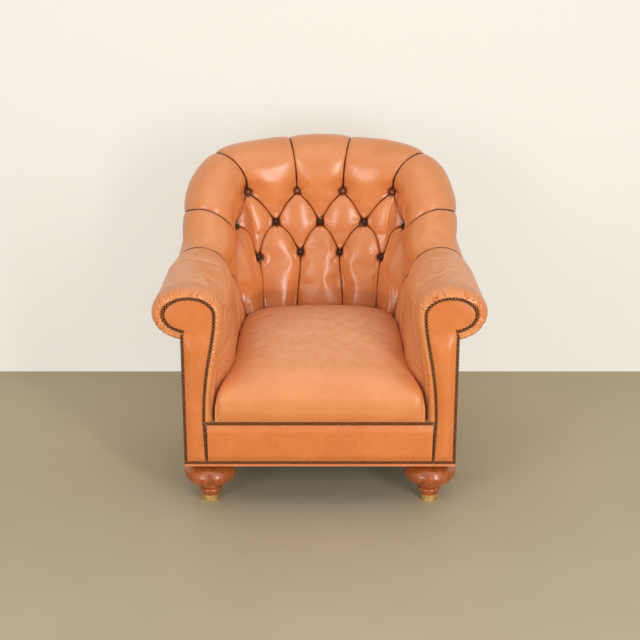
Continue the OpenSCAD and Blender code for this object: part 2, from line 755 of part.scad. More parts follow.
// A domed nail at p whose head faces along d.
module nail(p, d) {
    r = nail_d / 2;
    dome_r = (r * r + nail_t * nail_t) / (2 * nail_t);
    translate(p) rotate([0, acos(d[2]), atan2(d[1], d[0])]) rotate_extrude($fn = 32) {
        intersection() {
            translate([0, nail_t - dome_r]) circle(dome_r, $fn = 64);
            square([r, nail_t]);
        }
        translate([0, -shank_l]) square([shank_d / 2, shank_l + 0.01]);
    }
}
// The points that divide a path into equal steps of about the given length.
function lengths(path, i = 0, sum = 0) =
    i >= len(path) - 1 ? [sum] : concat([sum], lengths(path, i + 1, sum + norm(path[i + 1] - path[i])));
function spaced(path, pitch) =
    let (run = lengths(path), pieces = len(run) - 1, total = run[pieces], n = floor(total / pitch))
    [for (k = [0:n])
        let (s = min(k * total / n, total - 0.001), i = max([for (m = [0:pieces - 1]) run[m] <= s ? m : 0]))
        path[i] + (path[i + 1] - path[i]) * (s - run[i]) / (run[i + 1] - run[i])];
nail_o = scroll_pad + nail_edge;
scroll_top = [for (i = [0:40]) skin(0, i / 20, nail_o)];
module scroll_nails_right() {
    low = [seat_w / 2 + nail_o - post_slant, 0, base_nail_z + nail_pitch];
    color(bronze) from_front() for (p = spaced(concat([low], scroll_top), nail_pitch)) nail(p, [0, -1, 0]);
}
module scroll_nails_left() {
    left() scroll_nails_right();
}
module post_nails_right() {
    top = scroll_top[40] + [3, 0, -nail_pitch];
    low = [half - nail_edge, 0, base_nail_z + nail_pitch];
    color(bronze) from_front() for (p = spaced([top, low], nail_pitch)) nail(p, [0, -1, 0]);
}
module post_nails_left() {
    left() post_nails_right();
}
module front_rail_nails() {
    reach = seat_w / 2 + nail_o - nail_pitch - 1;
    color(bronze) from_front()
        for (p = spaced([[-reach, 0, nail_z], [reach, 0, nail_z]], nail_pitch)) nail(p, [0, -1, 0]);
}
module base_nails() {
    reach = half - nail_edge;
    color(bronze) from_front()
        for (p = spaced([[-reach, 0, base_nail_z], [reach, 0, base_nail_z]], nail_pitch)) nail(p, [0, -1, 0]);
}
module back_nails() {
    u = panel_split + 0.06;
    color(bronze) from_front() pair()
        for (p = spaced([panel(u, 0.02, 0), panel(u, 0.985, 0)], nail_pitch)) nail(p, outward(u));
}

front_rail();
side_rail_left();
side_rail_right();
rear_rail();
corner_blocks();
corner_block_screws();
front_post_left();
front_post_right();
arm_rail_left();
arm_rail_right();
arm_tuck_rail_left();
arm_tuck_rail_right();
wing_post_left();
wing_post_right();
rear_post_left();
rear_post_right();
crest_rail();
back_tuck_rail();
seat_springs();
spring_clips();
seat_hessian();
back_webbing();
seat_foam();
back_foam();
arm_foam_left();
arm_foam_right();
seat_cover();
back_cover();
arm_cover_left();
arm_cover_right();
scroll_panel_left();
scroll_panel_right();
front_rail_cover();
outside_arm_cover_left();
outside_arm_cover_right();
outside_back_cover();
dust_cover();
tuft_buttons();
front_foot_left();
front_foot_right();
ferrule_left();
ferrule_right();
rear_leg_left();
rear_leg_right();
rear_glides();
foot_bolts();
scroll_nails_left();
scroll_nails_right();
post_nails_left();
post_nails_right();
front_rail_nails();
base_nails();
back_nails();
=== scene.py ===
"""Tufted club chair in tan leather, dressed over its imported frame. Blender's lengths are in metres, and the
padded shapes are worked out in millimetres from the chair's front face, which looks to -Y."""
import math

import bpy
import numpy as np
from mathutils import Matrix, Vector
from mathutils.geometry import delaunay_2d_cdt


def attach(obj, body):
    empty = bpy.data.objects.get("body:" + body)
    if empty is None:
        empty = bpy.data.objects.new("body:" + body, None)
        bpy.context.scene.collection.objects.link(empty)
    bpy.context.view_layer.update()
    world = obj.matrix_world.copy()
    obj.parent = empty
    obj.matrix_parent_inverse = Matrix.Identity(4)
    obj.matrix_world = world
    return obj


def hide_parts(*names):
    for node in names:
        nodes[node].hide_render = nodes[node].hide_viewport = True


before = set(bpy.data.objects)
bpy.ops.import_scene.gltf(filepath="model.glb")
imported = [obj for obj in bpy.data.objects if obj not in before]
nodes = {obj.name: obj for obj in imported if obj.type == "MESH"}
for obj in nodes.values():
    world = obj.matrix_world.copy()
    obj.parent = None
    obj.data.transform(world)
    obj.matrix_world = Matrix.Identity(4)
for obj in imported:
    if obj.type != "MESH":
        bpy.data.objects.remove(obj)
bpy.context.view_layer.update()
scene = bpy.context.scene

# The studio: a pale cement floor, a painted wall behind the chair, two tall softboxes in front of it and a
# wide one above it. The camera stands 4.4 m away and 2 m above the floor. None of this belongs to the chair.


def linear(code):
    """An sRGB hex colour as the linear values that Blender's shaders take."""
    parts = [int(code[i:i + 2], 16) / 255 for i in (1, 3, 5)]
    return [p / 12.92 if p <= 0.04045 else ((p + 0.055) / 1.055) ** 2.4 for p in parts] + [1]


def feed(node, inputs):
    """Sets inputs of a node. Each takes a value, a socket, or a node, which gives its first output in use."""
    for key, value in inputs.items():
        if isinstance(value, bpy.types.Node):
            value = next(socket for socket in value.outputs if socket.enabled)
        if isinstance(value, bpy.types.NodeSocket):
            node.id_data.links.new(value, node.inputs[key])
        else:
            node.inputs[key].default_value = value


def add(tree, kind, inputs=None, **settings):
    """Adds one node. In a Mix, input 0 is the share, and 6 and 7 are the colours. In a Map Range, 0 is the
    value, 1 and 2 are the ends of its range, and 3 and 4 those of the range that it is brought to."""
    node = tree.nodes.new(kind if "Node" in kind else "ShaderNode" + kind)
    for key, value in settings.items():
        setattr(node, key, value)
    feed(node, inputs or {})
    return node


def surface(name):
    """A new material with its tree, its shader and the object's own coordinates."""
    material = bpy.data.materials.new(name)
    material.use_nodes = True
    tree = material.node_tree
    return material, tree, tree.nodes["Principled BSDF"], add(tree, "TexCoord").outputs["Object"]


def put(name, data):
    """A new object in the scene, at the origin."""
    thing = bpy.data.objects.new(name, data)
    scene.collection.objects.link(thing)
    return thing


LENS_PIXELS, FRAME_PIXELS = 1500, 640
camera = put("camera", bpy.data.cameras.new("camera"))
camera.location = (0, -4.3785, 2)
camera.rotation_euler = (math.radians(90 - 19.65), 0, 0)
camera.data.sensor_width = 36
camera.data.lens = 36 * LENS_PIXELS / FRAME_PIXELS
scene.camera = camera
scene.view_settings.view_transform = "Standard"

cement, tree, shader, place = surface("cement_floor")
cloud = add(tree, "TexNoise", {"Vector": place, "Scale": 1.6, "Detail": 6, "Roughness": 0.6})
tone = add(tree, "Mix", {0: cloud, 6: linear("#AFA184"), 7: linear("#BFB295")}, data_type="RGBA")
feed(shader, {"Base Color": tone, "Roughness": 0.6})


def looked_at(tree):
    """1 for the camera's rays, also mirrored and through glass, and 0 for the rays that light the chair."""
    rays = add(tree, "LightPath").outputs
    mirrored = add(tree, "Math", {0: rays["Is Glossy Ray"], 1: rays["Is Transmission Ray"]})
    return add(tree, "Math", {0: rays["Is Camera Ray"], 1: mirrored}, use_clamp=True)


# The wall shows from the front only, so that it hides nothing from a camera behind it. Over half of its
# brightness is there only to be looked at, so that it is as pale as paint under flash without more light.
paint, tree, shader, place = surface("painted_wall")
feed(shader, {"Base Color": linear("#EFEDE4"), "Roughness": 0.7})
shown = add(tree, "Math", {0: looked_at(tree), 1: 0.55}, operation="MULTIPLY")
glow = add(tree, "Emission", {"Color": linear("#FCF7EC"), "Strength": 1})
paler = add(tree, "MixShader", {0: shown, 1: shader, 2: glow})
behind = add(tree, "NewGeometry").outputs["Backfacing"]
one_sided = add(tree, "MixShader", {0: behind, 1: paler, 2: add(tree, "BsdfTransparent")})
feed(tree.nodes["Material Output"], {"Surface": one_sided})

ROOM, WALL_Y, WALL_TOP = 7, 0.67, 4  # metres
for name, front_y, back_y, top, coat in (
        ("floor", -ROOM, WALL_Y, 0, cement), ("floor_behind", WALL_Y, ROOM, 0, cement),
        ("wall", WALL_Y, WALL_Y, WALL_TOP, paint)):
    mesh = bpy.data.meshes.new(name)
    corners = [(-ROOM, front_y, 0), (ROOM, front_y, 0), (ROOM, back_y, top), (-ROOM, back_y, top)]
    mesh.from_pydata(corners, [], [(0, 1, 2, 3)])
    mesh.materials.append(coat)
    put(name, mesh)

AIM = Vector((0, 0, 0.45))
for name, spot, width, tall, power in (
        ("tall_softbox_right", (1.9, -3.7, 1.35), 0.6, 2.3, 80),
        ("tall_softbox_left", (-2.2, -3.6, 1.3), 1.2, 2.2, 50),
        ("ceiling_bounce", (0, -1.1, 3.3), 3.0, 3.0, 24)):
    lamp = bpy.data.lights.new(name, "AREA")
    lamp.shape, lamp.size, lamp.size_y, lamp.energy = "RECTANGLE", width, tall, power
    holder = put(name, lamp)
    holder.location = spot
    holder.rotation_euler = (AIM - Vector(spot)).to_track_quat("-Z", "Y").to_euler()
world = bpy.data.worlds.new("room")
world.use_nodes = True
tree = world.node_tree
bright = add(tree, "Math", {0: looked_at(tree), 1: 0.25, 2: 0.45}, operation="MULTIPLY_ADD")
feed(tree.nodes["Background"], {"Color": linear("#F3F1EC"), "Strength": bright})
scene.world = world

# The hidden frame: kiln-dried beech rails, posts and corner blocks, sawn and planed, glued and screwed.
# It is pale pinkish tan with short dark flecks along the grain, and it has no finish.


def wood(name, pale, dark, way, line, gloss, coat=0.0):
    """Timber whose grain runs along one axis; line is the width of a growth line in millimetres."""
    material, tree, shader, place = surface(name)
    long_grain = [0.12 if axis == way else 1.0 for axis in "XYZ"]
    stretched = add(tree, "Mapping", {"Vector": place, "Scale": long_grain})
    lines = add(tree, "TexNoise", {"Vector": stretched, "Scale": 1000 / (line * 4), "Detail": 5,
                                   "Roughness": 0.65, "Distortion": 0.6})
    flecks = add(tree, "TexNoise", {"Vector": stretched, "Scale": 1000 / line, "Detail": 2})
    broad = add(tree, "TexNoise", {"Vector": place, "Scale": 9, "Detail": 2})
    streak = add(tree, "MapRange", {0: lines, 1: 0.35, 2: 0.68})
    body = add(tree, "Mix", {0: streak, 6: linear(pale), 7: linear(dark)}, data_type="RGBA")
    pore = add(tree, "MapRange", {0: flecks, 1: 0.62, 2: 0.75, 4: 0.45})
    pored = add(tree, "Mix", {0: pore, 6: body, 7: linear(dark)}, data_type="RGBA", blend_type="MULTIPLY")
    shade = add(tree, "MapRange", {0: broad, 3: 0.86, 4: 1.1})
    toned = add(tree, "VectorMath", {0: pored, "Scale": shade}, operation="SCALE")
    dull = add(tree, "MapRange", {0: flecks, 3: gloss, 4: gloss + 0.12})
    relief = add(tree, "Bump", {"Height": flecks, "Strength": 0.35, "Distance": 0.0003})
    feed(shader, {"Base Color": toned, "Roughness": dull, "Normal": relief, "Coat Weight": coat,
                  "Coat Roughness": 0.12})
    return material


def pairs(*parts):
    """The names of parts that the chair has on the left and on the right."""
    return [f"{part}_{side}" for part in parts for side in ("left", "right")]


def coat_nodes(names, material):
    """Gives CAD nodes that stay as they are their finish."""
    for name in names:
        for mark in nodes[name].material_slots:
            mark.material = material


for way, grain, parts in (
        ("X", "across", ["front_rail", "rear_rail", "crest_rail", "back_tuck_rail", "corner_blocks"]),
        ("Y", "fore_and_aft", pairs("side_rail", "arm_rail", "arm_tuck_rail")),
        ("Z", "upright", pairs("front_post", "wing_post", "rear_post"))):
    coat_nodes(parts, wood(f"sawn_beech_{grain}", "#D3B084", "#B98C5B", way, 2.5, 0.62))

# Two bun feet of turned beech stand at the front and two square tapered legs at the rear. They are stained
# red-brown and lacquered to a satin gloss, with darker streaks where the grain takes more stain.
turned = wood("stained_turned_beech", "#BE6026", "#8C4418", "Z", 3.5, 0.26, coat=0.4)
coat_nodes(pairs("front_foot", "rear_leg"), turned)

# Each bun foot ends in a cup of spun brass, polished and since dulled by the floor: bright, warm and
# ringed with fine lines from the spinning, 1 mm apart, with faint brown tarnish.
brass, tree, shader, place = surface("spun_brass")
rings = add(tree, "TexWave", {"Vector": place, "Scale": 320, "Distortion": 0.4, "Detail": 1},
            bands_direction="Z")
stain = add(tree, "TexNoise", {"Vector": place, "Scale": 90, "Detail": 4})
tone = add(tree, "MapRange", {0: stain, 1: 0.45, 2: 0.75})
mixed = add(tree, "Mix", {0: tone, 6: linear("#F4D28C"), 7: linear("#CFA45E")}, data_type="RGBA")
dull = add(tree, "MapRange", {0: stain, 3: 0.34, 4: 0.5})
relief = add(tree, "Bump", {"Height": rings.outputs["Fac"], "Strength": 0.15, "Distance": 0.0002})
feed(shader, {"Base Color": mixed, "Roughness": dull, "Normal": relief, "Metallic": 1})
coat_nodes(pairs("ferrule"), brass)

# Steel inside the chair: zigzag springs of oiled wire, zinc-plated clips, screws and bolts, and the
# nickel-plated glides under the rear legs. Plating gives the fine grey clouding.
for name, pale, dark, gloss, parts in (
        ("oiled_spring_wire", "#6F7072", "#4A4847", 0.34, ["seat_springs"]),
        ("zinc_plated_steel", "#B9BDBF", "#8F9598", 0.3,
         ["spring_clips", "corner_block_screws", "foot_bolts"]),
        ("nickel_plated_steel", "#C3C0B8", "#9A968E", 0.2, ["rear_glides"])):
    plate, tree, shader, place = surface(name)
    cloud = add(tree, "TexNoise", {"Vector": place, "Scale": 260, "Detail": 4})
    mixed = add(tree, "Mix", {0: cloud, 6: linear(pale), 7: linear(dark)}, data_type="RGBA")
    dull = add(tree, "MapRange", {0: cloud, 3: gloss, 4: gloss + 0.2})
    feed(shader, {"Base Color": mixed, "Roughness": dull, "Metallic": 1})
    coat_nodes(parts, plate)

# Cloth under the leather: jute hessian over the springs, jute webbing up the back, and black cambric tacked
# under the frame against dust. All three are plain weaves, with threads of 2, 3 and 0.8 mm, and they are
# drawn about six times as coarse, so that they show.
for name, pale, dark, thread, ways, part in (
        ("jute_hessian", "#B39566", "#7E6238", 2.0, "XY", "seat_hessian"),
        ("jute_webbing", "#B08D58", "#735632", 3.0, "XZ", "back_webbing"),
        ("black_cambric", "#2B2928", "#161514", 0.8, "XY", "dust_cover")):
    weave, tree, shader, place = surface(name)
    threads = [add(tree, "TexWave", {"Vector": place, "Scale": 1000 / thread / 20, "Distortion": 0.5},
                   bands_direction=way).outputs["Fac"] for way in ways]
    cross = add(tree, "Math", {0: threads[0], 1: threads[1]}, operation="MAXIMUM")
    slub = add(tree, "TexNoise", {"Vector": place, "Scale": 60, "Detail": 3})
    depth = add(tree, "Math", {0: cross, 1: slub}, operation="MULTIPLY")
    mixed = add(tree, "Mix", {0: depth, 6: linear(dark), 7: linear(pale)}, data_type="RGBA")
    relief = add(tree, "Bump", {"Height": cross, "Strength": 0.6, "Distance": thread / 4000})
    feed(shader, {"Base Color": mixed, "Normal": relief, "Roughness": 0.9})
    coat_nodes([part], weave)

# The stuffing: blocks of cream foam with hair and wadding over them, glued to the frame. One sweep gives the
# form of the arms and back: stations run from the front of the right arm (0) past the middle of the back (8)
# to the front of the left arm (16), v from the seat (0) up to the roll (1) and round it (2), and o is a
# depth.
FRONT = -0.4205
MIDDLE, LAST, STATION = 8, 16, 150  # on the arms, a station is 150 mm long
stations = [  # tuck, roll's centre, its half width, half thickness and tacking angle, foot of the outside
    [[307, 0, 275.2], [369, 0, 600], [98, 76, 76], [393, 0]],
    [[262, 150, 310.2], [367, 150, 600], [98, 76, 76], [384, 150]],
    [[258, 290, 340.2], [363, 290, 600], [100, 76, 76], [373, 290]],
    [[250, 395, 358], [361, 420, 604.64], [86, 76, 76], [363, 420]],
    [[240, 450, 363], [349, 510, 651.04], [80, 78, 74], [355, 520]],
    [[215, 510, 368], [345, 610, 757.76], [81, 80, 70], [340, 620]],
    [[165, 550, 368], [293, 695, 836.64], [83, 78, 66], [290, 690]],
    [[85, 570, 368], [150, 750, 860], [85, 76, 62], [160, 728]],
    [[0, 575, 368], [0, 765, 868], [85, 76, 60], [0, 738]]]


def track(k, across=(-1, 1, 1), beyond=(1, -1, 1)):
    """One column of the stations for the whole sweep, with a mirrored neighbour beyond each end."""
    half = np.array([station[k] for station in stations], float)
    count = half.shape[1]
    whole = np.concatenate([half, half[-2::-1] * across[:count]])
    return np.concatenate([whole[1:2] * beyond[:count], whole, whole[-2:-1] * beyond[:count]])


tuck, roll, foot = (track(k) for k in (0, 1, 3))
size = track(2, across=(1, 1, 1), beyond=(1, 1, 1))


def curved(a, b, c, d, t, bend=False):
    """A smooth curve from b (t is 0) to c (t is 1), between their neighbours a and d, or its direction."""
    p, q, r = c - a, 2 * a - 5 * b + 4 * c - d, 3 * b - a - 3 * c + d
    return 0.5 * (p + 2 * q * t + 3 * r * t ** 2) if bend else b + 0.5 * (p * t + q * t ** 2 + r * t ** 3)


def along(line, u, bend=False):
    """A point of a column at station u, or its direction there."""
    i = np.minimum(np.floor(u).astype(int), LAST - 1)
    return curved(line[i], line[i + 1], line[i + 2], line[i + 3], (u - i)[..., None], bend)


def unit(v):
    return v / np.linalg.norm(v, axis=-1, keepdims=True)


def outward(u):
    """The level direction away from the sitter, and the one square to it and to the roll."""
    heading = unit(along(roll, u, bend=True))
    away = unit(np.stack([heading[..., 1], -heading[..., 0], 0 * heading[..., 0]], -1))
    return away, np.cross(away, heading)


def skin(u, v, o=0.0):
    """A point of the stuffed shell, in millimetres from the chair's front face."""
    u, v, o = (a.astype(float) for a in np.broadcast_arrays(u, v, o))
    low, centre, half = along(tuck, u), along(roll, u), along(size, u)
    away, up = outward(u)
    v, o = v[..., None], o[..., None]
    wide, thick = half[..., :1] - o, half[..., 1:2] - o
    start, end = low + o * unit((centre - low) * [1, 1, 0]), centre - wide * away
    run = np.linalg.norm(end - start, axis=-1, keepdims=True)
    lean = np.clip((np.minimum(u, LAST - u) - 3.5) / 2, 0, 1)[..., None]
    rise = unit((1 - lean) * [0, 0, 1] + lean * unit(end - start))
    t = np.minimum(v, 1)
    face = ((1 - t) ** 3 * start + 3 * (1 - t) ** 2 * t * (start + 0.5 * run * rise)
            + 3 * (1 - t) * t ** 2 * (end - 0.26 * run * up) + t ** 3 * end)
    angle = np.radians(180 - (v - 1) * (180 + half[..., 2:]))
    return np.where(v > 1, centre + wide * np.cos(angle) * away + thick * np.sin(angle) * up, face)


def ease(x):
    """A smooth step from 0 to 1."""
    x = np.clip(x, 0, 1)
    return x * x * (3 - 2 * x)


SEAM_GAP = 0.004  # stations: how far the hides of the arms and of the back stay from the crease


def crease(v):
    """The station where arm and back meet: it comes forward from the seat to the roll."""
    return 5 - 2 * np.minimum(v, 1)


# The tufting net of the back counts its columns from the middle: 8 is at the wings and 12 in the creases
# beside the arms. It counts its rows from the seat to the tacks behind the roll. The lists are the rows'
# heights v, and how many stations the columns are from the middle.
WING, EDGE, ROWS = 8, 12, 18
heights = np.array([0, .18, .35, .45, .54, .66, .77, .88] + [1 + i / 10 for i in range(11)])
columns = [0, .28, .56, .86, 1.16, 1.47, 1.78, 2.3, 2.9]


def back_place(k, j):
    """Station and height of the point of the tufting net in column k and row j."""
    n = np.abs(k)
    m = np.minimum(n, WING)
    sway = 0.018 * np.where((j > 2) & (j < 6), np.sin(np.pi * j / 2) ** 2, 0) * (n < WING)
    v = np.interp(j, range(ROWS + 1), heights) + sway
    fan = np.where(n <= WING, np.interp(n, range(WING + 1), columns) ** 2, 9 * (EDGE - n) / (EDGE - WING))
    raised = v + 0.2 * np.maximum(0, v - 0.35) * np.maximum(0, 1 - v) * fan
    u = np.interp(m, range(WING + 1), columns)
    u = u + 0.25 * np.minimum(m / 2, 1) * ease(1 - j / 2) * (1 - 0.6 * ease((m - 5) / 3))
    u = u + 0.2 * ease(m / 6) * (1 - 0.6 * ease((m - 6) / 2)) * ease((j - 6) / 6)
    wing_sweep = 0.72 * ease((j - 4) / 3.4) - 0.34 * ease((j - 7.5) / 5) - 0.2 * ease((j - 12) / 6)
    u = u + wing_sweep * np.clip((m - 6) / 2, 0, 1)
    edge_u = 3 + 2 * np.minimum(v, 1) - SEAM_GAP
    return MIDDLE + np.sign(k) * (u + (edge_u - u) * np.maximum(n - WING, 0) / (EDGE - WING)), raised


def foam_depth(v):
    """How deep the back of the foam lies: it thins out towards the tacks behind the roll."""
    return 44 - 52 * np.maximum(0, v - 1.5)


def build(name, points, faces, **marks):
    """A smooth-shaded closed object from points in millimetres from the front face. Its faces are turned to
    point outwards, and marks are values on its points."""
    corners = points[[(face + face[-1:])[:4] for face in faces]]
    turns = np.cross(corners[:, 1], corners[:, 2]) + np.cross(corners[:, 2], corners[:, 3])
    if np.einsum("ij,ij->", corners[:, 0], turns) < 0:
        faces = [face[::-1] for face in faces]
    mesh = bpy.data.meshes.new(name)
    mesh.from_pydata((points / 1000 + [0, FRONT, 0]).tolist(), [], faces)
    for mark, values in marks.items():
        layer = mesh.attributes.new(mark, "FLOAT", "POINT")
        full = np.zeros(len(points), np.float32)
        full[:np.size(values)] = np.ravel(values)
        layer.data.foreach_set("value", full)
    mesh.polygons.foreach_set("use_smooth", [True] * len(mesh.polygons))
    mesh.set_sharp_from_angle(angle=math.radians(70))
    mesh.update()
    return put(name, mesh)


def cells(rows, cols):
    """The corners of each cell of a grid of points."""
    i, j = np.meshgrid(np.arange(rows - 1), np.arange(cols - 1), indexing="ij")
    a = (i * cols + j).ravel()
    return np.stack([a, a + 1, a + cols + 1, a + cols], -1)


def shell(name, outer, inner, step=1, valley=None, **marks):
    """A closed piece between a fine outer grid and an inner one that has every step-th point of it. Where
    valley gives how deep the outer points lie, the cells are cut along their deeper diagonals."""
    first = outer[..., 0].size
    faces = []

    def net(start, grid, turn, deep):
        quads = cells(*grid.shape[:2])[:, ::turn]
        if deep is None:
            faces.extend((quads + start).tolist())
            return
        d = np.ravel(deep)[quads]
        across = (d[:, 0] + d[:, 2] >= d[:, 1] + d[:, 3])[:, None]
        for one, other in (([0, 1, 2], [0, 1, 3]), ([0, 2, 3], [1, 2, 3])):
            faces.extend((np.where(across, quads[:, one], quads[:, other]) + start).tolist())

    def rim(start, rows, cols):
        points = start + np.arange(rows * cols).reshape(rows, cols)
        return np.concatenate([points[0, :-1], points[:-1, -1], points[-1, :0:-1], points[:0:-1, 0]]).tolist()

    net(0, outer, 1, valley)
    net(first, inner, -1, None if valley is None else valley[::step, ::step])
    fine, rough, middle = rim(0, *outer.shape[:2]), rim(first, *inner.shape[:2]), max(1, step // 2)
    for k, (a, b) in enumerate(zip(rough, rough[1:] + rough[:1])):
        edge = [fine[(k * step + m) % len(fine)] for m in range(step + 1)]
        faces += [[edge[m + 1], edge[m], a if m < middle else b] for m in range(step)]
        faces.append([edge[middle], a, b])
    return build(name, np.concatenate([outer.reshape(-1, 3), inner.reshape(-1, 3)]), faces, **marks)


def finish(piece, material, replaced):
    """Gives a new piece its material, hangs it under the chair's root and hides the CAD part that it
    replaces.
    """
    piece.data.materials.append(material)
    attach(piece, "root")
    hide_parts(replaced)


def eased(fixed, spread, length, target=0.0, turns=160):
    """How deep padding lies when some points are drawn in to fixed depths and the rest springs back."""
    wide, high = spread
    depth = np.where(np.isnan(fixed), target, fixed)
    i, j = np.meshgrid(*(np.arange(s) for s in depth.shape), indexing="ij")
    for turn in range(turns):
        for colour in (0, 1):
            p = np.pad(depth, 1, mode="edge")
            level = ((p[:-2, 1:-1] + p[2:, 1:-1]) / wide ** 2 + (p[1:-1, :-2] + p[1:-1, 2:]) / high ** 2
                     + target / length ** 2) / (2 / wide ** 2 + 2 / high ** 2 + 1 / length ** 2)
            moved = np.isnan(fixed) & ((i + j) % 2 == colour)
            depth = np.where(moved, depth + 1.5 * (level - depth), depth)
    return depth


def spacing(points):
    """The mean distances between neighbours of a grid of points, along its rows and its columns."""
    return [np.linalg.norm(np.gradient(points, axis=way), axis=-1) for way in (0, 1)]


def normals(points):
    return unit(np.cross(np.gradient(points, axis=1), np.gradient(points, axis=0)))


def swell(points, size, seed, count=16):
    """A smooth random swell from about -1 to 1 whose bumps are some size millimetres wide."""
    chance = np.random.default_rng(seed)
    waves = unit(chance.normal(size=(count, 3))) * chance.uniform(0.6, 1.5, (count, 1)) * math.pi / size
    return np.sin(points @ waves.T + chance.uniform(0, 2 * math.pi, count)).sum(-1) * (2 / count) ** 0.5 / 1.4


def refined(grid, step):
    """The grid with smooth steps between its points, which stay as they are."""
    for turn in range(2):
        ends = np.concatenate([2 * grid[:1] - grid[1:2], grid, 2 * grid[-1:] - grid[-2:-1]])
        rows = [curved(ends[:-3], ends[1:-2], ends[2:-1], ends[3:], t) for t in np.arange(step) / step]
        grid = np.swapaxes(np.concatenate([np.stack(rows, 1).reshape(-1, *grid.shape[1:]), grid[-1:]]), 0, 1)
    return grid


def settled(name, points, held, excess, pressure, cap, bending, step=2):
    """Lets a hide find its own shape by Cloth simulation. It is cut a little too large, held points stay
    where they are, padding pushes from behind, and no point moves more than cap millimetres."""
    rough, kept = points[::step, ::step], held[::step, ::step]
    mesh = bpy.data.meshes.new(name)
    mesh.from_pydata((rough.reshape(-1, 3) / 1000).tolist(), [], cells(*kept.shape).tolist())
    sheet = put(name, mesh)
    pins = sheet.vertex_groups.new(name="held")
    for value in np.unique(kept):
        if value > 0:
            pins.add(np.flatnonzero(kept.ravel() == value).tolist(), float(value), "REPLACE")
    cloth = sheet.modifiers.new("hide", "CLOTH")
    wants = cloth.settings
    wants.quality, wants.mass, wants.air_damping = 5, 0.25, 2
    wants.tension_stiffness = wants.compression_stiffness = 25
    wants.shear_stiffness, wants.bending_stiffness = 12, bending
    wants.tension_damping = wants.compression_damping = wants.shear_damping = 12
    wants.vertex_group_mass, wants.pin_stiffness = "held", 1
    wants.shrink_min = -excess
    wants.use_pressure, wants.uniform_pressure_force = True, pressure
    wants.effector_weights.gravity = 0
    cloth.collision_settings.use_collision = False
    cloth.point_cache.frame_start, cloth.point_cache.frame_end = 1, 20
    for moment in range(1, 21):
        scene.frame_set(moment)
    found = sheet.evaluated_get(bpy.context.evaluated_depsgraph_get()).to_mesh()
    moved = np.empty(rough.size, np.float32)
    found.vertices.foreach_get("co", moved)
    scene.frame_set(1)
    bpy.data.objects.remove(sheet)
    move = moved.reshape(rough.shape) * 1000 - rough
    far = np.linalg.norm(move, axis=-1, keepdims=True)
    return points + refined(move * cap * np.tanh(far / cap) / np.maximum(far, 1e-6), step)


FINE = 12  # steps between neighbours of the tufting net
k_net, j_net = np.meshgrid(np.linspace(-EDGE, EDGE, 2 * EDGE * FINE + 1),
                           np.linspace(0, ROWS, ROWS * FINE + 1), indexing="ij")
back_u, back_v = back_place(k_net, j_net)
plain_back = skin(back_u, back_v)
buttons = [(k, j) for j, row in ((2, (-6, -2, 2, 6)), (4, (-8, -4, 0, 4, 8)), (6, (-6, -2, 2, 6)))
           for k in row]


def knot(k, j):
    """The place of a point of the tufting net in its fine grid."""
    return round((k + EDGE) * FINE), round(j * FINE)


# Where the back is drawn in: 24 mm at the buttons, 7 to 13 mm halfway along the pleats that start from them,
# and a little along the creases. Each pleat has its start and end, and its depths halfway and at its end. The
# pleats join the buttons in diamonds, and run on to the seat, over the crest and out to the creases beside
# the arms.
BUTTONED = 24
pleats = []
for k, j in buttons:
    pleats += [((k, j), (k + way, j + 2), 13, BUTTONED) for way in (-2, 2) if (k + way, j + 2) in buttons]
    if j == 2:
        pleats.append(((k, j), (k, 0), 9, 8))
    if j == 6 or abs(k) == WING:
        pleats.append(((k, j), (k, ROWS), 7, 2))
    if abs(k) == WING:
        pleats += [((k, j), (k // WING * EDGE, 8), 9, 8), ((k, j), (k // WING * EDGE, 3), 7, 8)]
drawn = np.full(k_net.shape, np.nan)
for (k0, j0), (k1, j1), middle, end in pleats:
    steps = max(abs(k1 - k0), abs(j1 - j0)) * FINE
    for m in range(steps + 1):
        t = m / steps
        from_start, to_end = max(0, 1 - 2 * t) ** 3, max(0, 2 * t - 1) ** (3 if end > middle else 1)
        spot = knot(k0 + (k1 - k0) * t, j0 + (j1 - j0) * t)
        depth = BUTTONED * from_start + end * to_end + (1 - from_start - to_end) * middle
        drawn[spot] = np.fmax(drawn[spot], depth)
on_fold = ~np.isnan(drawn)
nearest = np.min([np.linalg.norm(plain_back - plain_back[knot(k, j)], axis=-1) for k, j in buttons], axis=0)
drawn[nearest < 8.5] = BUTTONED
for end in (0, -1):
    drawn[end] = 10 - 7 * ease((back_v[end] - 1) / 0.4)
    on_fold[end] = True

# How far each point is from the nearest fold, in millimetres, and how deep it lies. Between the folds the
# padding springs out past its plain form: towards 18 mm on the tufted part and in the lower corners, up to
# 11 mm along the crest and 8 mm on the wings.
wide, high = spacing(plain_back)
slant = np.hypot(wide, high)
fold = np.where(on_fold, 0.0, 60.0)
for turn in range(14):
    p = np.pad(fold, 1, mode="edge")
    fold = np.minimum.reduce([
        fold, p[:-2, 1:-1] + wide, p[2:, 1:-1] + wide, p[1:-1, :-2] + high, p[1:-1, 2:] + high,
        p[:-2, :-2] + slant, p[2:, 2:] + slant, p[:-2, 2:] + slant, p[2:, :-2] + slant])
tufted = ease((9 - abs(k_net)) / 2) * ease((8.5 - j_net) / 2.5)
corner = ease((abs(k_net) - 6) / 2) * ease((12 - abs(k_net)) / 1.5) * ease((0.85 - back_v) / 0.3)
back_depth = eased(drawn, (wide, high), 26 + 14 * tufted, target=-18 * tufted - 18 * corner * (1 - tufted))
wing = ease((abs(k_net) - 6) / 1.5) * ease((11.6 - abs(k_net)) / 2)
crest = 11 * ease((12 - abs(k_net)) / 4) * np.exp(-((back_v - 0.92) / 0.12) ** 2)
fullness = np.maximum(crest, 8 * wing * np.exp(-((back_v - 0.99) / 0.16) ** 2))
back_depth = back_depth - ease((nearest - 8) / 45) * fullness

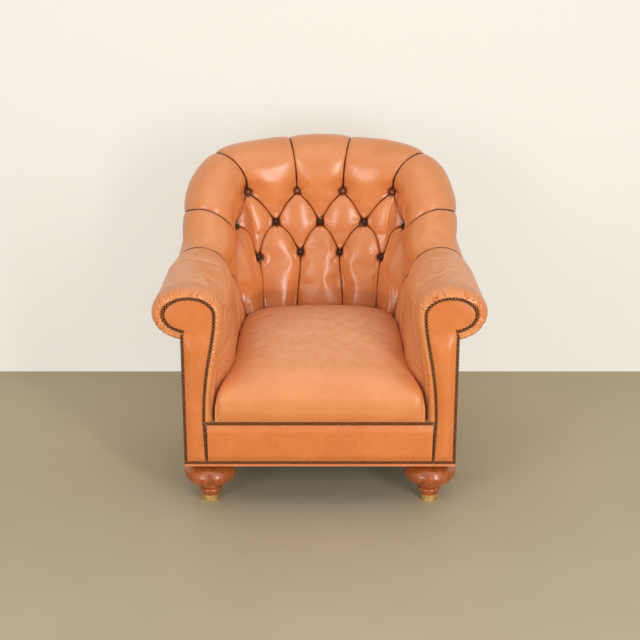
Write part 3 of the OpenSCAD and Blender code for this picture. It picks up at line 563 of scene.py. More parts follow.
# Eight short puckers run out from each button, and the cushion beside a lower or middle one bulges.
chance = np.random.default_rng(41)
for k, j in buttons:
    row, col = knot(k, j)
    off = plain_back - plain_back[row, col]
    far = np.linalg.norm(off, axis=-1)
    turn = np.arctan2(off[..., 2], off @ unit(plain_back[row + 1, col] - plain_back[row, col]))
    for number in range(8):
        lie, deep, long = chance.uniform(-math.pi, math.pi), chance.uniform(1.0, 3.2), chance.uniform(16, 40)
        across = far * np.abs(np.angle(np.exp(1j * (turn - lie))))
        pucker = deep * np.exp(-(across / 3.2) ** 2 - (far / long) ** 3)
        back_depth = back_depth + pucker * ease((far - 7) / 5) * ~on_fold
    if j < 6 and abs(k) < WING:
        back_depth = back_depth - 7 * np.exp(-((far - 16) / 7) ** 2) * (1 - np.exp(-(fold / 7) ** 2))
# A pleat closes in a narrow slit between its two cushions, and the slit is 3.5 to 6 mm deep.
slit = on_fold & (abs(k_net) < EDGE) & (nearest > 9)
back_depth = back_depth + slit * (6 - 2.5 * ease((back_v - 0.9) / 0.2))
back_formed = skin(back_u, back_v, back_depth)
held = (on_fold | (drawn >= BUTTONED) | (j_net == 0) | (j_net == ROWS)).astype(float)
uneven = normals(back_formed) * (1.2 * swell(plain_back, 70, 4) * (1 - held))[..., None]
back_top = settled("inside_back_sheet", back_formed + uneven, held, 0.004, 3, 14, bending=14)
# The inner sides of the covers and the stuffing have every third point only.
COARSE = 3
rough = (slice(None, None, COARSE), slice(None, None, COARSE))
u_c, v_c, d_c = back_u[rough], back_v[rough], back_depth[rough]
moved = (back_top - back_formed)[rough]
seat_fade = 26 * np.maximum(0, 1 - v_c) * (1 - np.maximum(0, abs(k_net[rough]) - WING) / 5)

cream, tree, shader, place = surface("polyurethane_foam")
pores = add(tree, "TexVoronoi", {"Vector": place, "Scale": 600})
tint = add(tree, "TexNoise", {"Vector": place, "Scale": 14, "Detail": 3})
mixed = add(tree, "Mix", {0: tint, 6: linear("#E9DDB9"), 7: linear("#D9C692")}, data_type="RGBA")
relief = add(tree, "Bump", {"Height": pores, "Strength": 0.7, "Distance": 0.0008})
feed(shader, {"Base Color": mixed, "Normal": relief, "Roughness": 0.95})
FOAM_UNDER = 4.5  # the foam starts this deep below the outside of the leather
stuffing = shell("back_stuffing", skin(u_c, v_c, d_c + FOAM_UNDER) + moved,
                 skin(u_c, v_c, foam_depth(v_c) + seat_fade), valley=d_c)
finish(stuffing, cream, "back_foam")

# The leather: thick full-grain hide, drum-dyed tan and waxed. It is orange where it is new, paler and pinker
# where hands and light have worn the wax off, and browner where it is soiled. The marks on the meshes say how
# near a point is to a fold, how deep it is drawn in, and how worn and soiled it is. Painted shade: a dark
# line along each fold and tuck, a deeper orange where the hide is drawn in, and dark brown in the pits round
# the buttons. On the arms' inner faces, part of the paleness of wear is painted fill light.


def hide(name, fresh, deep, pale, gloss):
    """Waxed leather. Its grain is drawn 3 mm coarse, three times its real size, so that it shows."""
    material, tree, shader, place = surface(name)
    fold, painted_hollow_shade, worn, soiled = (add(tree, "Attribute", attribute_name=mark).outputs["Fac"]
                                    for mark in ("fold", "drawn", "worn", "soiled"))
    cloud = add(tree, "TexNoise", {"Vector": place, "Scale": 7, "Detail": 5, "Roughness": 0.6})
    blotch = add(tree, "TexNoise", {"Vector": place, "Scale": 34, "Detail": 4, "Roughness": 0.65})
    varied = add(tree, "MapRange", {0: cloud, 1: 0.3, 2: 0.7})
    body = add(tree, "Mix", {0: varied, 6: linear(fresh), 7: linear(deep)}, data_type="RGBA")
    patchy = add(tree, "MapRange", {0: blotch, 1: 0.3, 2: 0.75, 3: 0.4, 4: 1.2})
    # Wear makes the hide paler. On the arms' inner faces, part of it is painted fill light.
    rubbed = add(tree, "Math", {0: worn, 1: patchy}, operation="MULTIPLY", use_clamp=True)
    aged = add(tree, "Mix", {0: rubbed, 6: body, 7: linear(pale)}, data_type="RGBA")
    smutty = add(tree, "Math", {0: soiled, 1: patchy}, operation="MULTIPLY", use_clamp=True)
    grimy = add(tree, "Mix", {0: smutty, 6: aged, 7: linear("#AE6838")}, data_type="RGBA")
    # Painted shade: the deeper a point is drawn in, the more deeper orange it gets, and dark brown in the
    # pits.
    hollow_shade_share = add(tree, "MapRange", {0: painted_hollow_shade, 2: 0.85, 4: 0.32})
    hollow_shade_painted = add(tree, "Mix", {0: hollow_shade_share, 6: grimy, 7: linear("#C2682A")}, data_type="RGBA")
    pit_shade_share = add(tree, "MapRange", {0: painted_hollow_shade, 1: 0.8, 2: 1.1, 4: 0.9})
    pit_shade_painted = add(tree, "Mix", {0: pit_shade_share, 6: hollow_shade_painted, 7: linear("#501A04")}, data_type="RGBA")
    # Painted shade: a dark brown line along each fold, crease and tuck, rougher too. On the arms' seams it is
    # the seams' own line.
    waver = add(tree, "Math", {0: blotch, 1: 0.13, 2: -0.065}, operation="MULTIPLY_ADD")
    edge = add(tree, "Math", {0: fold, 1: waver}, operation="ADD")
    crease_shade_line = add(tree, "MapRange", {0: edge, 1: 0.88, 2: 0.965, 4: 0.97})
    crease_shade_painted = add(tree, "Mix", {0: crease_shade_line, 6: pit_shade_painted, 7: linear("#481600")}, data_type="RGBA")
    slanted = add(tree, "Mapping", {"Vector": place, "Rotation": (0.3, 0.5, 0.9), "Scale": (1, 0.06, 1)})
    rubs = add(tree, "TexNoise", {"Vector": slanted, "Scale": 90, "Detail": 2})
    scuff = add(tree, "MapRange", {0: rubs, 1: 0.66, 2: 0.76, 4: 0.2})
    scuffed = add(tree, "Mix", {0: scuff, 6: crease_shade_painted, 7: linear(pale)}, data_type="RGBA")
    dull = add(tree, "MapRange", {0: blotch, 3: gloss - 0.06, 4: gloss + 0.1})
    matt = add(tree, "Math", {0: rubbed, 1: 0.26, 2: dull}, operation="MULTIPLY_ADD")
    dry = add(tree, "Math", {0: crease_shade_line, 1: 0.5, 2: matt}, operation="MULTIPLY_ADD")
    pebble = add(tree, "TexVoronoi", {"Vector": place, "Scale": 330})
    cross = add(tree, "TexNoise", {"Vector": place, "Scale": 42, "Detail": 4, "Distortion": 0.8},
                noise_type="RIDGED_MULTIFRACTAL")
    grain = add(tree, "Bump", {"Height": pebble, "Strength": 0.22, "Distance": 0.0006})
    creased = add(tree, "Bump", {"Height": cross, "Strength": 0.12, "Distance": 0.0012, "Normal": grain})
    feed(shader, {"Base Color": scuffed, "Roughness": dry, "IOR": 1.58, "Normal": creased})
    return material


tan = hide("waxed_tan_hide", "#E08E53", "#D58044", "#E4A47B", 0.25)
worn_tan = hide("worn_seat_hide", "#E08E53", "#D58044", "#EAB28A", 0.44)
LEATHER = 2.5


def fold_mark(distance):
    """1 on the line of a fold and 0 from 30 mm away."""
    return 1 - np.clip(distance / 30, 0, 1)


# The inside back is one hide, drawn in by thirteen buttons and folded into the pleats that join them. Four
# more pleats run down to the seat, four up over the crest, two over the wings and four out to the arms.
# Painted shade on the inside back: a deeper orange towards the seat, round the buttons (most round the lower
# two rows) and wherever the hide is drawn in, and a dark line along each pleat and crease, narrower in the
# lower rows. The roll and the hide behind it get a little of the same deeper orange.
seat_shade_and_roll_tone = 0.87 * ease((560 - back_top[..., 2]) / 90) + 0.3 * ease((back_v - 0.85) / 0.1)
worn_back = 0.28 * ease((back_v - 0.95) / 0.8) * ease((1.95 - back_v) / 0.3) + 0.1
pit_shade_painted = np.where(j_net < 5, 0.7, 0.25) * (abs(k_net) < 7.5) * np.exp(-(nearest / 13) ** 2)
painted_hollow_shade = np.clip(np.maximum(back_depth / 20 + pit_shade_painted, seat_shade_and_roll_tone), 0, 1.2)
back_in = skin(u_c, v_c, d_c + LEATHER + 0.5) + moved
back = shell("inside_back_hide", back_top, back_in, COARSE, valley=back_depth,
             fold=fold_mark(fold) - 0.045 * ease(5.5 - j_net), drawn=painted_hollow_shade, worn=worn_back)
finish(back, tan, "back_cover")

# Each button is a metal mould covered in a dyed darker scrap of the hide, pulled tight by a twine through the
# back. The lower buttons are painted darker, as painted shade from their cushions, and made duller.
dark_hide, tree, shader, place = surface("dark_button_hide")
cloud = add(tree, "TexNoise", {"Vector": place, "Scale": 120, "Detail": 3})
mixed = add(tree, "Mix", {0: cloud, 6: linear("#8A4822"), 7: linear("#5E2A10")}, data_type="RGBA")
height = add(tree, "SeparateXYZ", {0: place}).outputs["Z"]
# Painted shade: the buttons' colour falls to a fifth from 0.77 m down to 0.72 m.
low_button_shade = add(tree, "MapRange", {0: height, 1: 0.72, 2: 0.77, 3: 0.2, 4: 1.0})
shaded_button_colour = add(tree, "VectorMath", {0: mixed, "Scale": low_button_shade}, operation="SCALE")
dusty = add(tree, "MapRange", {0: height, 1: 0.72, 2: 0.77, 3: 0.65, 4: 0.27})
relief = add(tree, "Bump", {"Height": cloud, "Strength": 0.25, "Distance": 0.0006})
feed(shader, {"Base Color": shaded_button_colour, "Roughness": dusty, "Normal": relief})


def studs(name, points, facings, sizes, material, replaced, seed, follow=True):
    """Domed heads on shanks, in Geometry Nodes: spaced along each path, or one at each point. The sizes, in
    millimetres, are the spacing, the head's width and height and the shank's length and width."""
    tree = bpy.data.node_groups.new(name, "GeometryNodeTree")
    tree.interface.new_socket("Path", in_out="INPUT", socket_type="NodeSocketGeometry")
    tree.interface.new_socket("Geometry", in_out="OUTPUT", socket_type="NodeSocketGeometry")
    labels = ("Spacing", "Head width", "Head height", "Shank length", "Shank width")
    wanted = [(label, "Float", length / 1000) for label, length in zip(labels, sizes)]
    chosen = {}
    for label, kind, value in wanted + [("Seed", "Int", seed), ("Material", "Material", material)]:
        socket = tree.interface.new_socket(label, in_out="INPUT", socket_type="NodeSocket" + kind)
        chosen[socket.identifier] = value

    given = add(tree, "NodeGroupInput").outputs
    spots = given["Path"]
    if follow:
        curve = add(tree, "GeometryNodeMeshToCurve", {"Mesh": spots})
        length = add(tree, "GeometryNodeSplineLength")
        gaps = add(tree, "Math", {0: length, 1: given["Spacing"]}, operation="DIVIDE")
        whole = add(tree, "Math", {0: gaps, 1: 1.001}, operation="ADD")
        count = add(tree, "Math", {0: whole}, operation="FLOOR")
        spots = add(tree, "GeometryNodeResampleCurve", {"Curve": curve, "Count": count})
    width, tall, shank = given["Head width"], given["Head height"], given["Shank length"]
    rings = 8 if follow else 14
    ball = add(tree, "GeometryNodeMeshUVSphere", {"Segments": 2 * rings, "Rings": rings, "Radius": 0.5})
    sized = add(tree, "CombineXYZ", {"X": width, "Y": width, "Z": tall})
    doubled = add(tree, "VectorMath", {0: sized, 1: (1, 1, 2)}, operation="MULTIPLY")
    dome = add(tree, "GeometryNodeTransform", {"Geometry": ball, "Scale": doubled})
    where = add(tree, "GeometryNodeInputPosition")
    flat = add(tree, "VectorMath", {0: where, 1: (-1, -1, 0)}, operation="MAXIMUM")
    cap = add(tree, "GeometryNodeSetPosition", {"Geometry": dome, "Position": flat})
    raised = add(tree, "SeparateXYZ", {0: where}).outputs["Z"]
    share = add(tree, "Math", {0: raised, 1: tall}, operation="DIVIDE")
    marked = add(tree, "GeometryNodeStoreNamedAttribute", {"Geometry": cap, "Name": "raised", "Value": share})
    smooth = add(tree, "GeometryNodeSetShadeSmooth", {"Geometry": marked})
    half = add(tree, "Math", {0: given["Shank width"], 1: 0.5}, operation="MULTIPLY")
    pin = add(tree, "GeometryNodeMeshCylinder", {"Vertices": 8, "Radius": half, "Depth": shank})
    middle = add(tree, "Math", {0: shank, 1: -0.5}, operation="MULTIPLY")
    below = add(tree, "CombineXYZ", {"Z": middle})
    driven = add(tree, "GeometryNodeTransform", {"Geometry": pin, "Translation": below})
    stud = add(tree, "GeometryNodeJoinGeometry", {0: smooth})
    feed(stud, {0: driven})
    facing = add(tree, "GeometryNodeInputNamedAttribute", {"Name": "facing"}, data_type="FLOAT_VECTOR")
    tilt = 0.07
    sway = add(tree, "FunctionNodeRandomValue", {0: [-tilt] * 3, 1: [tilt] * 3, "Seed": given["Seed"]},
               data_type="FLOAT_VECTOR")
    tipped = add(tree, "VectorMath", {0: facing, 1: sway}, operation="ADD")
    turn = add(tree, "FunctionNodeAlignRotationToVector", {"Vector": tipped}, axis="Z")
    placed = add(tree, "GeometryNodeInstanceOnPoints", {"Points": spots, "Instance": stud, "Rotation": turn})
    real = add(tree, "GeometryNodeRealizeInstances", {"Geometry": placed})
    coated = add(tree, "GeometryNodeSetMaterial", {"Geometry": real, "Material": given["Material"]})
    add(tree, "NodeGroupOutput", {"Geometry": coated})

    mesh = bpy.data.meshes.new(name + "_path")
    edges, start = [], 0
    for line in points:
        edges += [(start + i, start + i + 1) for i in range(len(line) - 1)] if follow else []
        start += len(line)
    mesh.from_pydata((np.concatenate(points) / 1000 + [0, FRONT, 0]).tolist(), edges, [])
    layer = mesh.attributes.new("facing", "FLOAT_VECTOR", "POINT")
    layer.data.foreach_set("vector", np.concatenate(facings).astype(np.float32).ravel())
    path = put(name + "_path", mesh)
    modifier = path.modifiers.new("studs", "NODES")
    modifier.node_group = tree
    for identifier, value in chosen.items():
        modifier[identifier] = value
    bpy.context.view_layer.update()
    made = bpy.data.meshes.new_from_object(path.evaluated_get(bpy.context.evaluated_depsgraph_get()))
    bpy.data.objects.remove(path)
    made.name = name
    made.materials.clear()
    finish(put(name, made), material, replaced)


seats, facings = [], []
for k, j in buttons:
    on_wing = abs(k) == WING
    u, v = (float(a) for a in back_place(np.array(float(k)), np.array(float(j))))
    p = skin(np.array([u, u + 0.02, u]), np.array([v, v, v + 0.02]))
    facings.append(unit(unit(np.cross(p[2] - p[0], p[1] - p[0])) + [0, -0.7 * on_wing, 0]))
    seats.append(skin(u, v, 19.0 if on_wing else 23.0))
studs("covered_buttons", [seats], [facings], (1, 19, 8.5, 10, 4), dark_hide,
      "tuft_buttons", 3, follow=False)

# Each arm is one hide from the seat up over the roll, pulled round the stuffed front edge in small gathers
# and sewn to its neighbours by two seams across the roll. At the back it is drawn into the crease beside the
# wing.
ROUND_ROWS, ARM_ROWS, ARM_FINE = 12, 90, 24
EDGE_U, EDGE_DEEP = 35 / STATION, 22  # the front edge is rounded over 35 mm of the arm and 22 mm down
turned_edge = np.linspace(math.pi / 2, 0, ROUND_ROWS, endpoint=False)
reach = np.linspace(0, 1, ARM_ROWS + 1)
arm_v = np.interp(np.linspace(0, ROWS, ROWS * ARM_FINE + 1), range(ROWS + 1), heights)


def arm_points(edge, q, v, sink, edge_depth, depth):
    """Points of the right arm. The first rows go round its front edge by the angle edge, sink mm behind the
    scroll panel, and the others go from there (q is 0) to the crease (q is 1)."""
    front = skin(EDGE_U * (1 - np.sin(edge)) + sink * np.sin(edge) / STATION, v, edge_depth)
    return np.concatenate([front, skin(EDGE_U + (crease(v) - SEAM_GAP - EDGE_U) * q, v, depth)])


def arm_net(o):
    """The fine net of the right arm at depth o below its leather."""
    o = np.broadcast_to(o, (ROUND_ROWS + ARM_ROWS + 1, arm_v.size))
    edge, sink = turned_edge[:, None], o[:ROUND_ROWS]
    edge_depth = EDGE_DEEP * (1 - np.cos(edge)) + sink * np.cos(edge)
    return arm_points(edge, reach[:, None], arm_v[None], sink, edge_depth, o[ROUND_ROWS:])


plain_arm = arm_net(0.0)
girth = np.concatenate([[0], np.cumsum(np.linalg.norm(np.diff(plain_arm[ROUND_ROWS], axis=0), axis=-1))])
back_from_front = np.concatenate([np.zeros((1, arm_v.size)),
                                  np.cumsum(np.linalg.norm(np.diff(plain_arm, axis=0), axis=-1), axis=0)])
to_crease = back_from_front[-1:] - back_from_front
arm_v_net = np.broadcast_to(arm_v, back_from_front.shape)
rolled = ease((arm_v_net - 0.85) / 0.3)


def arm_folds(seed):
    """How deep the right arm's leather lies below its plain form, and how far each point is from a fold."""
    chance = np.random.default_rng(seed)
    depth = (10 - 7 * ease((arm_v_net - 1) / 0.4)) * np.exp(-to_crease / 15)
    fold = to_crease + 14 * ease((arm_v_net - 1) / 0.3)
    # Gathers run back from the nails round the scroll, close together and of all lengths.
    at = 60
    while at < girth[-1] - 6:
        on_roll = ease((at - 0.42 * girth[-1]) / 60)
        long = chance.uniform(16, 34) if chance.uniform(0, 1) < 0.8 else chance.uniform(45, 62)
        broad, lean_by = chance.uniform(1.8, 3.2), chance.uniform(-0.5, 0.5)
        deep = (1.6 + 4 * chance.uniform(0, 1) ** 2) * (0.35 + 0.65 * on_roll)
        off = abs(girth[None, :] - at - lean_by * (back_from_front - 20))
        there = np.exp(-(back_from_front / long) ** 3) * ease(back_from_front / 5)
        crimp = np.exp(-(off / broad) ** 1.4) - 0.35 * np.exp(-((off - 2 * broad) / broad) ** 2)
        depth = depth + deep * crimp * there
        fold = np.minimum(fold, off + 1.4 + 30 * (1 - there * ease((deep - 0.9) / 1.6)))
        at += chance.uniform(6, 14) * (2.2 - 1.2 * on_roll)
    # Loose folds hang down the inner face behind the front edge.
    for fold_at in (26, 52, 84, 121):
        line = fold_at + chance.uniform(-6, 6)
        line = line + 7 * np.sin(arm_v_net * chance.uniform(3, 6) + chance.uniform(0, 6))
        hung = ease((arm_v_net - 0.04) / 0.15) * ease((chance.uniform(0.85, 1.2) - arm_v_net) / 0.3)
        deep = chance.uniform(0.9, 1.7) + 1.6 * (fold_at < 60)
        depth = depth + deep * hung * np.exp(-((back_from_front - line) / 6) ** 2)
    for seam_y in (145, 287):
        away = abs(plain_arm[..., 1] - seam_y)
        sewn = ease((arm_v_net - 0.72) / 0.2)
        depth = depth + sewn * (1.5 * np.exp(-(away / 2.4) ** 2) + 0.8 * np.exp(-(away / 13) ** 2))
        fold = np.minimum(fold, np.maximum(away - 1.5, 0) + 2.8 + 30 * (1 - sewn))
    depth = depth - 8 * ease((arm_v_net - 1.3) / 0.4) * np.exp(-(back_from_front / 130) ** 2)
    return depth + 1.1 * swell(plain_arm, 90, seed) * (0.4 + 0.6 * rolled) * ease(to_crease / 60), fold


# The foam starts from row 6 of the round edge, 2.8 mm behind the panel, and it is 21.4 mm deep there.
FOAM_FROM, FOAM_SINK, FOAM_HIND = 6, 2.8, 21.4
core_v, core_q = arm_v[None, ::COARSE], reach[::COARSE, None]
core = arm_points(turned_edge[FOAM_FROM::COARSE, None], core_q, core_v, FOAM_SINK, FOAM_HIND,
                  np.where(core_q > 0, foam_depth(core_v), FOAM_HIND))
free = ease((back_from_front - 16) / 70) * ease((to_crease - 4) / 20) * (arm_v_net > 0) * (arm_v_net < 2)
# The wear mark is real wear, more on the roll. Its level of 0.5 on the inner faces is partly painted fill
# light, which makes them paler where the lamps reach less.
worn = (0.5 + 0.22 * rolled) * ease((1.85 - arm_v_net) / 0.25) * ease((back_from_front + 5) / 90)
soiled = 0.55 * np.exp(-((arm_v_net - 1.45) / 0.2) ** 2 - ((back_from_front - 52) / 20) ** 2)
for side, hand, seed in (("right", 1, 11), ("left", -1, 23)):
    arm_depth, arm_fold = arm_folds(seed)
    arm_top = arm_net(arm_depth)
    loose = settled(f"arm_sheet_{side}", arm_top, np.round(1 - free, 1), 0.006, 2.5, 7, bending=3) - arm_top
    arm_in = (arm_net(arm_depth + LEATHER + 0.3) + loose)[rough]
    foam_top = (arm_net(arm_depth + FOAM_UNDER) + loose)[FOAM_FROM::COARSE, ::COARSE]
    flip = [hand, 1, 1]
    stuffing = shell(f"arm_stuffing_{side}", foam_top * flip, core * flip,
                     valley=arm_depth[FOAM_FROM::COARSE, ::COARSE])
    finish(stuffing, cream, f"arm_foam_{side}")
    # Painted shade on the arms: a deeper orange where the hide lies deeper, in the crease and the gathers,
    # and a dark line along the crease and the deeper gathers. Along the seams, the line is the seams' own.
    arm = shell(f"arm_hide_{side}", (arm_top + loose) * flip, arm_in * flip, COARSE, valley=arm_depth,
                fold=fold_mark(arm_fold), drawn=np.clip(arm_depth / 14, 0, 0.8), worn=worn, soiled=soiled)
    finish(arm, tan, f"arm_cover_{side}")

# The seat is built tight on its springs. One hide is stretched over a crowned block of foam, pulled down the
# front to the rail, and tucked away at the sides and back beside the arms and the inside back.
SEAT_TIMES, ACROSS, BACKWARD = 5, 22, 20  # cells of the coarse net, and steps to a cell of the fine one
HALF_SEAT, SEAT_DEEP, SEAT_FOOT = stations[0][0][0], stations[-1][0][1], stations[0][0][2]
# The deck's edge is 368 mm high at the front and rises 62 mm to the back, and its crown is 456 mm high. The
# border's points have their y and their share of its height. The brim's rows say how deep the hide is tucked,
# and how far it is from the seat's edge there, on the deck and at the foot of the border.
RIM, RIM_RISE, CROWN, BORDER = 368, 62, 456, 92.8
seat_front = [(0, 0), (-3, .27), (-4, .55), (-2, .78), (5, .94), (18, 1.02)]
brim = [(45, 22, 0), (14, 5, 3), (4, 6, 7), (0, 14, 14)]


def seat_plan(p, q):
    """Level place on the seat: p runs 1 to -1 across it, and q runs 0 to 1 back between the arms."""
    side, corner = (skin(np.array(4.75 * t), np.array(0.21 - 0.13 * t), -1.5) for t in (q, 1))
    rear = skin(np.array(8 - 3.25 * p), np.array(0.08), -1.5)
    return np.array([p * side[0] + q * (rear[0] - p * corner[0]), side[1] + q * (rear[1] - corner[1])])


def seat_height(p, q):
    """Height of the deck, whose crown is highest a little behind the front."""
    rim = RIM + RIM_RISE * q ** 0.85
    crown = CROWN - (RIM + RIM_RISE * 0.45 ** 0.85)
    return rim + crown * (1 - abs(p) ** 2.6) * max(0, math.sin(math.pi * q ** 0.62)) ** 0.8 * (q > 0)


def seat_point(i, j):
    """A corner of the coarse seat net: up the front, over the top and down into the tucks."""
    climbed, side, rear = min(max((j - 3) / 3, 0), 1), min(i, ACROSS - i), BACKWARD - j
    margin, side_drop = brim[-1][1], 0
    p = (1 - margin / HALF_SEAT) * (1 - (i - 3) / 8)
    if side < len(brim):
        drop, inset, foot_inset = brim[side]
        p = math.copysign(1 - (foot_inset + climbed * (inset - foot_inset)) / HALF_SEAT, ACROSS / 2 - i)
        side_drop = drop * climbed
    if j < len(seat_front):
        y, share = seat_front[j]
        return [seat_plan(p, 0)[0], y, SEAT_FOOT + share * BORDER - side_drop]
    q = 0.07 + (1 - margin / SEAT_DEEP - 0.07) * (j - 6) / 11
    if rear < len(brim):
        q = 1 - brim[rear][1] / SEAT_DEEP
        side_drop = max(side_drop, brim[rear][0])
    return [*seat_plan(p, q), seat_height(p, q) - side_drop]


def finer(grid, times):
    """A smooth surface over a coarse net, with some steps to each cell."""
    for turn in range(2):
        beyond = [2 * grid[-1] - grid[-2], 3 * grid[-1] - 2 * grid[-2]]
        ends = np.concatenate([[2 * grid[0] - grid[1]], grid, beyond])
        t = np.arange(times)[:, None, None] / times
        weights = [(1 - t) ** 3, 3 * t ** 3 - 6 * t ** 2 + 4, -3 * t ** 3 + 3 * t ** 2 + 3 * t + 1, t ** 3]
        rows = [sum(w * ends[i + m] for m, w in enumerate(weights)) / 6 for i in range(len(grid) - 1)]
        last = (ends[-4] + 4 * ends[-3] + ends[-2]) / 6
        grid = np.swapaxes(np.concatenate(rows + [last[None]]), 0, 1)
    return grid


# The net is fuller than the foam's plan at the front border and over the front edge, and then smoothed there.
seat_net = np.array([[seat_point(i, j) for j in range(BACKWARD + 1)] for i in range(ACROSS + 1)])
fuller = (1 - abs(np.linspace(1, -1, 17)) ** 2.6)[:, None]
seat_net[3:-3, 1:6, 1] -= [9, 12, 13, 12, 6]
seat_net[3:-3, 3:8, 2] += [3, 9, 14, 4, 2] + fuller * [3, 18, 23, 5, 2]
for turn in range(3):
    seat_net[:, 2:12] += 0.5 * ((seat_net[:, 1:11] + seat_net[:, 3:13]) / 2 - seat_net[:, 2:12])
seat_top = finer(seat_net, SEAT_TIMES)
rows, cols = seat_top.shape[:2]
i_seat, j_seat = np.meshgrid(np.linspace(0, ACROSS, rows), np.linspace(0, BACKWARD, cols), indexing="ij")
edge_seat = np.minimum(i_seat, ACROSS - i_seat)

# The leather swells a little over the deck and the border, and two faint ripples cross the border.
x_seat, z_seat = seat_top[..., 0], seat_top[..., 2]
on_front = ease((7 - j_seat) / 2) * ease((j_seat - 0.3) / 2) * ease((edge_seat - 0.5) / 2)
on_deck = ease((edge_seat - 3) / 3) * ease((j_seat - 6) / 3) * ease((18 - j_seat) / 3)
ripple = (0.7 * np.exp(-((z_seat - 292 - 0.02 * abs(x_seat)) / 5) ** 2)
          + 0.5 * np.exp(-((z_seat - 318 + 0.03 * x_seat) / 6) ** 2))
swollen = 1.6 * swell(seat_top, 150, 5) * on_deck + 0.4 * swell(seat_top, 60, 6) * on_front
seat_top = seat_top + normals(seat_top) * (swollen - ripple * on_front)[..., None]
free = ease((edge_seat - 2) / 3) * ease((j_seat - 1) / 3) * ease((19 - j_seat) / 3)
seat_top = settled("seat_sheet", seat_top, np.round(1 - free, 1), 0.004, 3, 7, bending=4, step=1)
seat_in = seat_top[::SEAT_TIMES, ::SEAT_TIMES]
inward = normals(seat_in)
foam_base = np.array([[[*seat_plan(0.93 * (1 - i / 11), 0.02 + 0.91 * j / 18), 282.0] for j in range(19)]
                      for i in range(ACROSS + 1)])
seat_stuffing = shell("seat_stuffing", (seat_in - inward * 2.8)[:, 2:], foam_base)
finish(seat_stuffing, cream, "seat_foam")
# Painted shade: a dark line along the tucks at the sides and the back of the seat.
seat_fold = np.minimum(edge_seat * 9, (20 - j_seat) * 9) + 20 * ease((8 - j_seat) / 2)
browned = ease((j_seat - 9) / 9) * (0.3 + 0.7 * ease((8 - edge_seat) / 7))
deck_wear = ease((j_seat - 2) / 9) * ease((edge_seat - 2) / 4)
seat_hide = shell("seat_hide", seat_top, seat_in - inward * LEATHER, SEAT_TIMES, fold=fold_mark(seat_fold),
                  soiled=0.95 * browned, worn=deck_wear * (1 - 0.8 * browned))
finish(seat_hide, worn_tan, "seat_cover")

# The scroll panels and the front rail panel are flat cuts of a glossier hide over thin wadding, nailed on
# last. They stand a little proud between the rows of nails and are pressed in along them.
glazed = hide("glazed_panel_hide", "#D8782E", "#CA6824", "#E5A877", 0.26)


def gap(spot, starts, ends):
    """How far a point is from the nearest of some straight lines."""
    run = ends - starts
    t = np.clip(((spot - starts) * run).sum(-1) / (run ** 2).sum(-1), 0, 1)[:, None]
    return np.linalg.norm(starts + t * run - spot, axis=-1).min()


def flat_panel(name, outline, rows, replaced):
    """A padded panel in the plane of the front: its outline in x and z, and the lines that nails press in."""
    rim = []
    for a, b in zip(outline, np.roll(outline, -1, axis=0)):
        parts = max(1, round(np.linalg.norm(b - a) / 5))
        rim += [a + (b - a) * m / parts for m in range(parts)]
    starts, ends = np.array(rim), np.roll(rim, -1, axis=0)
    low, high = starts.min(0), starts.max(0)
    inside = [np.array((x + 2.5 * (row % 2), z)) for row, z in enumerate(np.arange(low[1] + 4, high[1], 4.5))
              for x in np.arange(low[0] + 3, high[0], 5)]
    inside = [spot for spot in inside if gap(spot, starts, ends) > 2.6]
    spots = [Vector(p) for p in rim + inside]
    flat, _, faces, *_ = delaunay_2d_cdt(spots, [], [list(range(len(rim)))], 1, 1e-4)
    flat = np.array([tuple(p) for p in flat])
    x, z = flat.T
    edge = np.array([gap(p, starts, ends) for p in flat])
    starts, ends = (np.concatenate([row[cut] for row in rows]) for cut in (slice(0, -1), slice(1, None)))
    nailed = np.array([gap(p, starts, ends) for p in flat])
    wadding = 1.5 + 6.5 * ease((550 - z) / 54)
    front = 0.9 * np.exp(-(nailed / 5) ** 2) - wadding * ease((nailed - 2) / 24) ** 0.8 - 0.5 * ease(edge / 3)
    front = front + 0.5 * swell(np.stack([x, 0 * x, z], -1), 45, 8) * ease((nailed - 8) / 10)
    points = np.concatenate([np.stack([x, front, z], -1), np.stack([x, 0 * x + LEATHER, z], -1)])
    behind = len(flat)
    edges = [(p, q) for face in faces for p, q in zip(face, face[1:] + face[:1])]
    inner = set(edges)
    faces = ([list(face) for face in faces] + [[i + behind for i in face[::-1]] for face in faces]
             + [[q, p, p + behind, q + behind] for p, q in edges if (q, p) not in inner])
    # Painted shade: a little deeper orange along the rows of nails, where the hide is pressed in.
    piece = build(name, points, faces, fold=fold_mark(30 - 12 * np.exp(-(nailed / 5) ** 2)),
                  drawn=0.3 * np.exp(-(nailed / 7) ** 2), worn=0.15 + 0 * x)
    finish(piece, glazed, replaced)


def scroll_line(o, count=60):
    """The front edge of the arm's shell, from the seat round the scroll, at depth o."""
    return skin(np.zeros(count + 1), np.linspace(0, 2, count + 1), o)


# The panels reach 22.3 mm inside the shell's edge, and the nails' centres are 4.2 mm further in. The rows of
# nails are straight but for those round the scrolls. The posts end at z 137, and the lowest nails are at
# 147.5.
FOOT, BASE_ROW, TOP_ROW, POST_ROW, RAIL_ROW = 137, 147.5, 269.7, 388.5, 321.5
edge_line = scroll_line(22.3)[:, [0, 2]]
scroll_top = scroll_line(26.5, 40)
post_top = scroll_top[-1] + [3, 0, -11]
outline = np.concatenate([[[324.3, FOOT]], edge_line, [[393, edge_line[-1, 1]], [393, FOOT]]])
inner_row = np.concatenate([[[328.5, BASE_ROW]], scroll_top[:, [0, 2]]])
outer_row = np.array([post_top[[0, 2]], [POST_ROW, BASE_ROW]])
base_row = np.array([[-POST_ROW, BASE_ROW], [POST_ROW, BASE_ROW]])
for side, hand in (("right", 1), ("left", -1)):
    rows = [row * [hand, 1] for row in (inner_row, outer_row, base_row)]
    flat_panel(f"scroll_facing_{side}", outline * [hand, 1], rows, f"scroll_panel_{side}")
